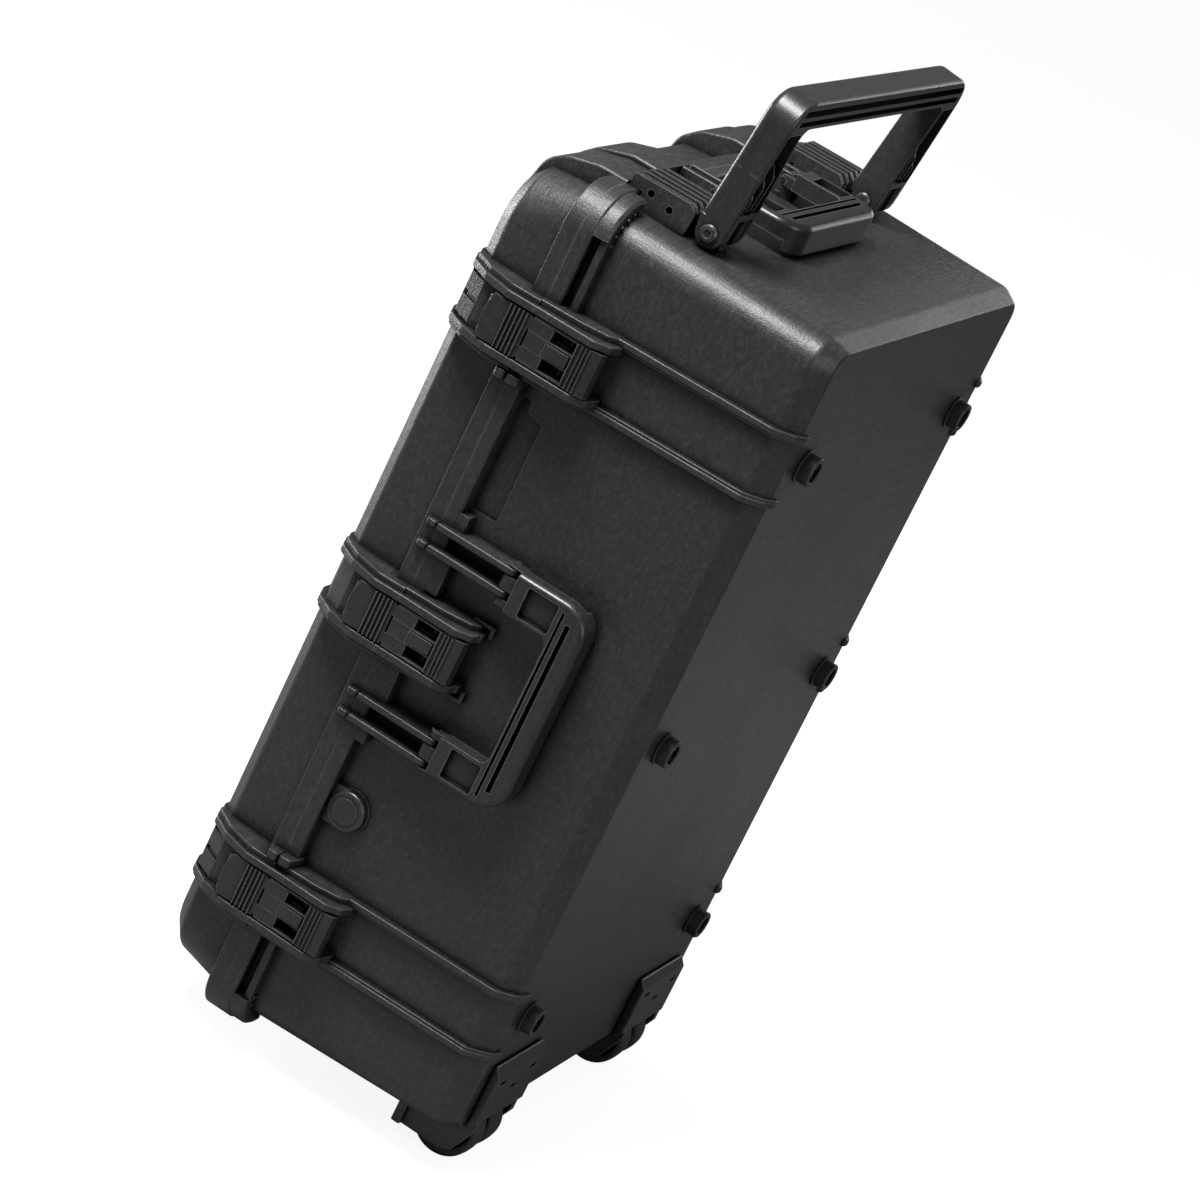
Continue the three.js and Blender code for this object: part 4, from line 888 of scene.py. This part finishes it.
def pull_handle():
    """A bail with wide hollow arms, each with fins inside, a forked hub and claws in front of the fork."""
    hub_inner, top_inner, under = PULL_INNER_HUB, PULL_INNER_TOP, PULL_REACH - PULL_GRIP
    outer_arc = circle(28, 12, (PULL_HALF - 28, PULL_REACH - 28), 0, math.pi / 2)
    inner_arc = circle(10, 8, (top_inner - 10, under - 10), 0, math.pi / 2)
    shape = [(PULL_HALF, 0)] + outer_arc + [(-y, z) for y, z in outer_arc[::-1]] + [(-PULL_HALF, 0)]
    shape += [(-hub_inner, 0), (-hub_inner, 20)]
    shape += [(-y, z) for y, z in inner_arc] + inner_arc[::-1] + [(hub_inner, 20), (hub_inner, 0)]
    bm = prism_mesh(shape, "x", PULL_BACK, PULL_FRONT)
    outside = lambda p: abs(p.y) > PULL_HALF - 29 and (abs(p.y) > PULL_HALF - 0.5 or p.z > PULL_REACH
        - 29) or (
        p.z > PULL_REACH - 0.5)
    soften(bm, 7, 6, lambda p: outside(p) and p.z > 1 and p.x < 0)
    soften(bm, 3, 4, lambda p: outside(p) and p.z > 1 and p.x > 0)
    soften(bm, 1.6, 3)
    parts = [solid(bm)]
    hub = circle(13, 16, (0, 0), math.pi, math.tau) + [(PULL_FRONT - 0.4, 12), (PULL_BACK + 0.4, 12)]
    cutters, fins = [], []
    for side in (-1, 1):
        across = lambda low, high: sorted((side * low, side * high))
        parts.append(prism(hub, "y", *across(hub_inner, PULL_HALF), 1.6, 3))
        hollow = [(201.4, 25), (201.4, 104), (top_inner + 3.6, 104), (hub_inner + 3.6, 25)]
        hollow = rounded([(side * y, z) for y, z in hollow], 3)
        cutters.append(prism(hollow, "x", PULL_FRONT - 21, PULL_FRONT + 9, 0))
        cutters.append(block((-30, 30), across(*PULL_FORK), (-20, 20), 0))
        # soft scoop and parting line on the arm's outer face
        scoop = lathe([(0, -21.2)] + [(r, h) for h,
            r in circle(21.2, 24, (0, 0), math.pi, 0)[1:-1]] + [(0, 21.2)],
                      "y", (0, 0), 64)
        scoop.data.transform(Matrix.Translation((-2, side * (PULL_HALF + 19.6), 80)) @ Matrix.Diagonal(
            (1, 1, 3.4, 1)))
        cutters.append(scoop)
        cutters.append(block((PULL_BACK - 5, PULL_FRONT + 5), across(PULL_HALF - 0.5, PULL_HALF + 5),
            (61, 61.7), 0))
        for y, top in PULL_FINS:
            outline = [(PULL_FRONT - 22, 24), (13.2, 24), (13.2, top - 20), (8, top - 10),
                (PULL_FRONT - 22, top)]
            fins.append(prism(rounded(outline, 8), "y", *across(y, y + 2.4), 0.6))
        for y in PULL_CLAWS:
            claw = [(9.9, 26), (9.9, -3), (10.8, -5.8), (12.9, -5.8), (12.9, 26)]
            fins.append(prism(rounded(claw, 1), "y", *across(y, y + 2.4), 0.6))
    for low, high in PULL_GROOVES:
        groove = block((PULL_FRONT - 14, PULL_FRONT + 9), (-PULL_HALF + 12, PULL_HALF - 12), (low, high), 0)
        cutters.append(groove)
    body = merged(parts, cutters)
    place = Matrix.Translation((PULL_PIVOT_X, 0, wall_z(PULL_PIVOT_X) + PULL_OUT)) @ Matrix.Rotation(
        PULL_LEAN, 4, "Y")
    piece("pull_handle_skin", "pull", "trim_black", TRIM, [body, *fins], [rod("y", (0, 0), -230, 230, 5, 0)],
          ["pull_handle"], place)


def pull_bracket(name, side):
    """Finned block at the rim with a lug in the fork of the handle's arm."""
    top = wall_z(-200) + PULL_BRACKET_HEIGHT
    pivot_z = wall_z(PULL_PIVOT_X) + PULL_OUT
    foot = wall_z(-171) + 0.4
    y = lambda low, high: sorted((side * low, side * high))
    parts = [block((PARTING_X + 1, -173), y(140, 203), (foot, top - 11), 1.2)]
    for k in range(5):
        low = 140 + k * 13
        outline = [(PARTING_X + 1, foot), (-173, foot), (-171, top - 7), (-178, top), (PARTING_X + 1, top)]
        parts.append(prism(rounded(outline, 3), "y", *y(low, low + (11 if k == 4 else 6.5)), 1.0, 2))
    lug = [(-175, foot), (PULL_PIVOT_X + PULL_LUG_R, foot), (PULL_PIVOT_X + PULL_LUG_R, pivot_z)]
    lug += circle(PULL_LUG_R, 10, (PULL_PIVOT_X, pivot_z), 0, math.pi / 2) + [(-175, pivot_z + PULL_LUG_R)]
    parts.append(prism(lug, "y", *y(*PULL_LUG_Y), 0.7))
    cutters = [
        block((PARTING_X - 5, -220.6), y(130, 210), (380, RIM_HALF_Z + FLANGE_OUT + GAP), 0),
        rod("y", (PULL_PIVOT_X, pivot_z), *y(150, 220), 4.9, 0),
    ]
    for x, height in ((-213, 17), (-193, 13)):
        cutters.append(rod("y", (x, wall_z(x) + height), *y(188, 215), 3.2, 0))
    piece(f"pull_bracket_{name}_skin", "base", "shell_black", SHELL, parts, cutters, [f"pull_bracket_{name}"])
    head = [(0, 0.6), (2.6, 0.6), (3.4, 0), (5.4, 0), (7, 1.4), (7, 3), (4.6, 3), (4.6, 51.8), (8, 51.8),
        (8, 53.4),
            (6.6, 55), (4, 55.6), (3.2, 54.4), (0, 54.4)]
    profile = [(r, side * (h + PULL_SCREW_START)) for r, h in head]
    piece(f"pull_handle_screw_{name}_skin", "base", "trim_black", TRIM,
          [lathe(profile, "y", (PULL_PIVOT_X, pivot_z))], (), [f"pull_handle_screw_{name}"])


# ---------------------------------------------------------------- wheels, feet, valve


def wheel_bracket(name, side):
    y = lambda low, high: sorted((side * low, side * high))
    plate = [(GAP, -318), (9.3, -330), (9.3, -380), (4, -386), (GAP, -386)]
    cheek = [(-59.7, WHEEL_WELL_Z - GAP), (9, WHEEL_WELL_Z - GAP), (9, -390), (AXLE_X + 18, -417),
        (AXLE_X + 8, -421),
             (-59.7, -421)]
    parts = [prism(rounded(plate, 2), "y", *y(110, 207), 1.6, 3)]
    for low, high in ((119, 127), (194, 202)):
        parts.append(prism(rounded(cheek, 3), "y", *y(low, high), 1.0))
    parts.append(block((-59.7, -54), y(119, 202), (-421, WHEEL_WELL_Z - GAP), 1.0))
    parts.append(block((-63, -54), y(110, 207), (-421, -BASE_HALF_Z - 2.6), 1.4))
    cutters = [
        rod("y", (AXLE_X, AXLE_Z), *y(122, 200), AXLE_BORE_R, 0),
        rod("y", (AXLE_X, AXLE_Z), *y(128, 193), WHEEL_R + 1.6, 0, 64),
    ]
    for across, z in ((128, -340), (189, -340), (158, -352)):
        slot = rounded([(side * (across - 6), z - 2), (side * (across + 6), z - 2),
            (side * (across + 6), z + 2),
                        (side * (across - 6), z + 2)], 1.9, 4)
        cutters.append(prism(slot, "x", 3, 20, 0))
    piece(f"wheel_bracket_{name}_skin", "base", "trim_black", TRIM, parts, cutters, [f"wheel_bracket_{name}"])


def wheel(name, side, low, high):
    """A disc with a crowned tread, a dished web and a hub."""
    profile = [
        (AXLE_BORE_R, low), (11, low), (12, low + 1), (13, low + 5), (22.5, low + 5), (24, low + 0.8), (27,
            low),
        (29.5, low + 0.8), (WHEEL_R - 0.4, low + 3), (WHEEL_R, low + 8), (WHEEL_R, high - 8),
        (WHEEL_R - 0.4, high - 3), (29.5, high - 0.8), (27, high), (24, high - 0.8), (22.5, high - 5),
        (13, high - 5), (12, high - 1), (11, high), (AXLE_BORE_R, high),
    ]
    node_name = f"wheel_{name}"
    profile = [(r, side * h) for r, h in profile]
    piece(f"{node_name}_skin", f"{node_name}_body", "wheel_tyre", TYRE,
        [lathe(profile, "y", (AXLE_X, AXLE_Z), 64)],
          (), [node_name])


def foot(name, y, z):
    """Round foot: a skirt, a cup with a rim and a cross spoke in its recess."""
    outer = [(3.4, 0.3), (FOOT_R, 0.3), (FOOT_R, 1.6), (13.6, 2.4), (13.4, 8), (13.4, FOOT_HEIGHT - 0.8),
             (12.6, FOOT_HEIGHT), (9.8, FOOT_HEIGHT), (9.2, FOOT_HEIGHT - 0.6), (9, 6.5), (3.4, 6.5)]
    parts = [lathe(outer, "x", (y, z), 56)]
    for turn in (0.6, 0.6 + math.pi / 2):
        spoke = block((6, 10.5), (3.6, 9.4), (-1.1, 1.1), 0.4)
        other = block((6, 10.5), (-9.4, -3.6), (-1.1, 1.1), 0.4)
        parts += moved([spoke, other], Matrix.Translation((0, y, z)) @ Matrix.Rotation(turn, 4, "X"))
    piece(f"foot_{name}_skin", "base", "foot_rubber", RUBBER, parts, (), [f"foot_{name}"])
    head = [(0, -10), (3, -10), (3, 7.3), (5.6, 7.3), (5.6, 8.6), (4.2, 9.9), (2.2, 10.3), (1.6, 9.2),
        (0, 9.2)]
    piece(f"foot_screw_{name}_skin", "base", "steel", BLACK_STEEL, [lathe(head, "x", (y, z), 28)], (),
          [f"foot_screw_{name}"])


def valve():
    centre = (VALVE_X, VALVE_Z)
    body = [(0, -232), (7.6, -232), (7.6, -250.9), (VALVE_R, -250.9), (VALVE_R, -255.2),
        (VALVE_R - 0.8, -256),
            (0, -256)]
    parts = [lathe(body, "y", centre)]
    beads = 36
    for k in range(beads):
        a = math.tau * k / beads
        x, z = VALVE_X + (VALVE_R - 2.1) * math.cos(a), VALVE_Z + (VALVE_R - 2.1) * math.sin(a)
        parts.append(rod("y", (x, z), -256.6, -255, 0.6, 0.2, 8))
    piece("valve_body_skin", "base", "trim_black", TRIM, parts, (), ["valve_body"])
    cap = [(0, -256.3), (12, -256.3), (12, -256.7), (11.6, -257), (0, -257)]
    piece("valve_cap_skin", "base", "trim_black", TRIM, [lathe(cap, "y", centre)],
          [rod("y", (VALVE_X - 4, VALVE_Z + 3), -260, -257, 1.0, 0, 12)], ["valve_cap"])


# ---------------------------------------------------------------- the whole case

base_shell()
lid_shell()
for station, station_z in STATIONS.items():
    latch_hook(station, station_z)
    latch_lever(station, station_z)
    latch_release(station, station_z)
carry_handle("front_handle", "front_carry", FRONT_HANDLE)
carry_handle("end_handle", "end_carry", END_HANDLE)
pull_handle()
for end, end_side in (("front", -1), ("back", 1)):
    pull_bracket(end, end_side)
    wheel_bracket(end, end_side)
    for where, (inner_face, outer_face) in WHEEL_DISCS.items():
        wheel(f"{end}_{where}", end_side, inner_face, outer_face)
    for row, row_z in (("upper", FOOT_Z), ("middle", 0), ("lower", -FOOT_Z)):
        foot(f"{row}_{end}", end_side * FOOT_Y, row_z)
valve()

# CAD nodes that stay visible get their own finish
KEPT = {"lid_gasket": SEAL, "valve_nut": TRIM, **{f"latch_pin_{name}": TRIM for name in STATIONS}}
for node_name, cad in frame["nodes"].items():
    if cad.hide_render:
        continue
    cad.data.materials.clear()
    cad.data.materials.append(KEPT.get(node_name, BLACK_STEEL if node_name.startswith("bracket") else STEEL))

# ---------------------------------------------------------------- stage

AMBIENT = 0.17
LIGHT_TARGET = (0, 0, 0.45)
# name, place, size and watts
SOFTBOXES = (
    ("top_softbox", (-0.65, -1.0, 2.8), (1.2, 0.8), 118),
    ("left_softbox", (-2.6, 0.7, 0.1), (0.9, 2.2), 95),
    ("back_softbox", (0.4, 2.9, 1.2), (1.6, 0.9), 12),
    ("right_softbox", (2.4, -1.0, 1.5), (0.8, 1.2), 14),
)
CAMERA_PLACE, CAMERA_LENS, SENSOR_WIDTH = (1.0444, -3.4686, 1.7317), 130.1, 36
CAMERA_SHIFT = (0.0013, 0.003)
CAMERA_RIGHT, CAMERA_UP = (0.81681, 0.40156, 0.41421), (-0.50776, 0.15959, 0.84659)


def area_light(name, place, target, size, power):
    data = bpy.data.lights.new(name, "AREA")
    data.shape = "RECTANGLE"
    data.size, data.size_y = size
    data.energy = power
    light = bpy.data.objects.new(name, data)
    light.location = place
    light.rotation_euler = (Vector(target) - Vector(place)).to_track_quat("-Z", "Y").to_euler()
    scene.collection.objects.link(light)


def stage():
    bm = bmesh.new()
    bmesh.ops.create_grid(bm, x_segments=2, y_segments=2, size=40)
    mesh = bpy.data.meshes.new("floor")
    bm.to_mesh(mesh)
    bm.free()
    floor = bpy.data.objects.new("floor", mesh)
    scene.collection.objects.link(floor)
    material = bpy.data.materials.new("floor_pale")
    material.use_nodes = True
    shader = material.node_tree.nodes["Principled BSDF"]
    shader.inputs["Base Color"].default_value = (0.32, 0.32, 0.32, 1)
    shader.inputs["Roughness"].default_value = 0.9
    shader.inputs["Specular IOR Level"].default_value = 0.1
    shader.inputs["Emission Color"].default_value = (1, 1, 1, 1)
    mesh.materials.append(material)
    tree = material.node_tree
    seen = node(tree, "ShaderNodeLightPath").outputs["Is Camera Ray"]
    tree.links.new(ranged(tree, seen, 0.0, 0.9, 0, 1), shader.inputs["Emission Strength"])

    world = bpy.data.worlds.new("studio")
    world.use_nodes = True
    tree = world.node_tree
    background = tree.nodes["Background"]
    background.inputs["Color"].default_value = (1, 1, 1, 1)
    seen = node(tree, "ShaderNodeLightPath").outputs["Is Camera Ray"]
    tree.links.new(ranged(tree, seen, AMBIENT, 1.0, 0, 1), background.inputs["Strength"])
    scene.world = world

    for name, place, size, power in SOFTBOXES:
        area_light(name, place, LIGHT_TARGET, size, power)


def camera():
    data = bpy.data.cameras.new("photo_view")
    data.sensor_width = SENSOR_WIDTH
    data.lens = CAMERA_LENS
    data.shift_x, data.shift_y = CAMERA_SHIFT
    made = bpy.data.objects.new("photo_view", data)
    right, up = Vector(CAMERA_RIGHT), Vector(CAMERA_UP)
    back = right.cross(up)
    turn = Matrix((right, up, back)).transposed().to_4x4()
    made.matrix_world = Matrix.Translation(CAMERA_PLACE) @ turn
    scene.collection.objects.link(made)
    scene.camera = made


stage()
camera()
scene.view_settings.view_transform = "Standard"
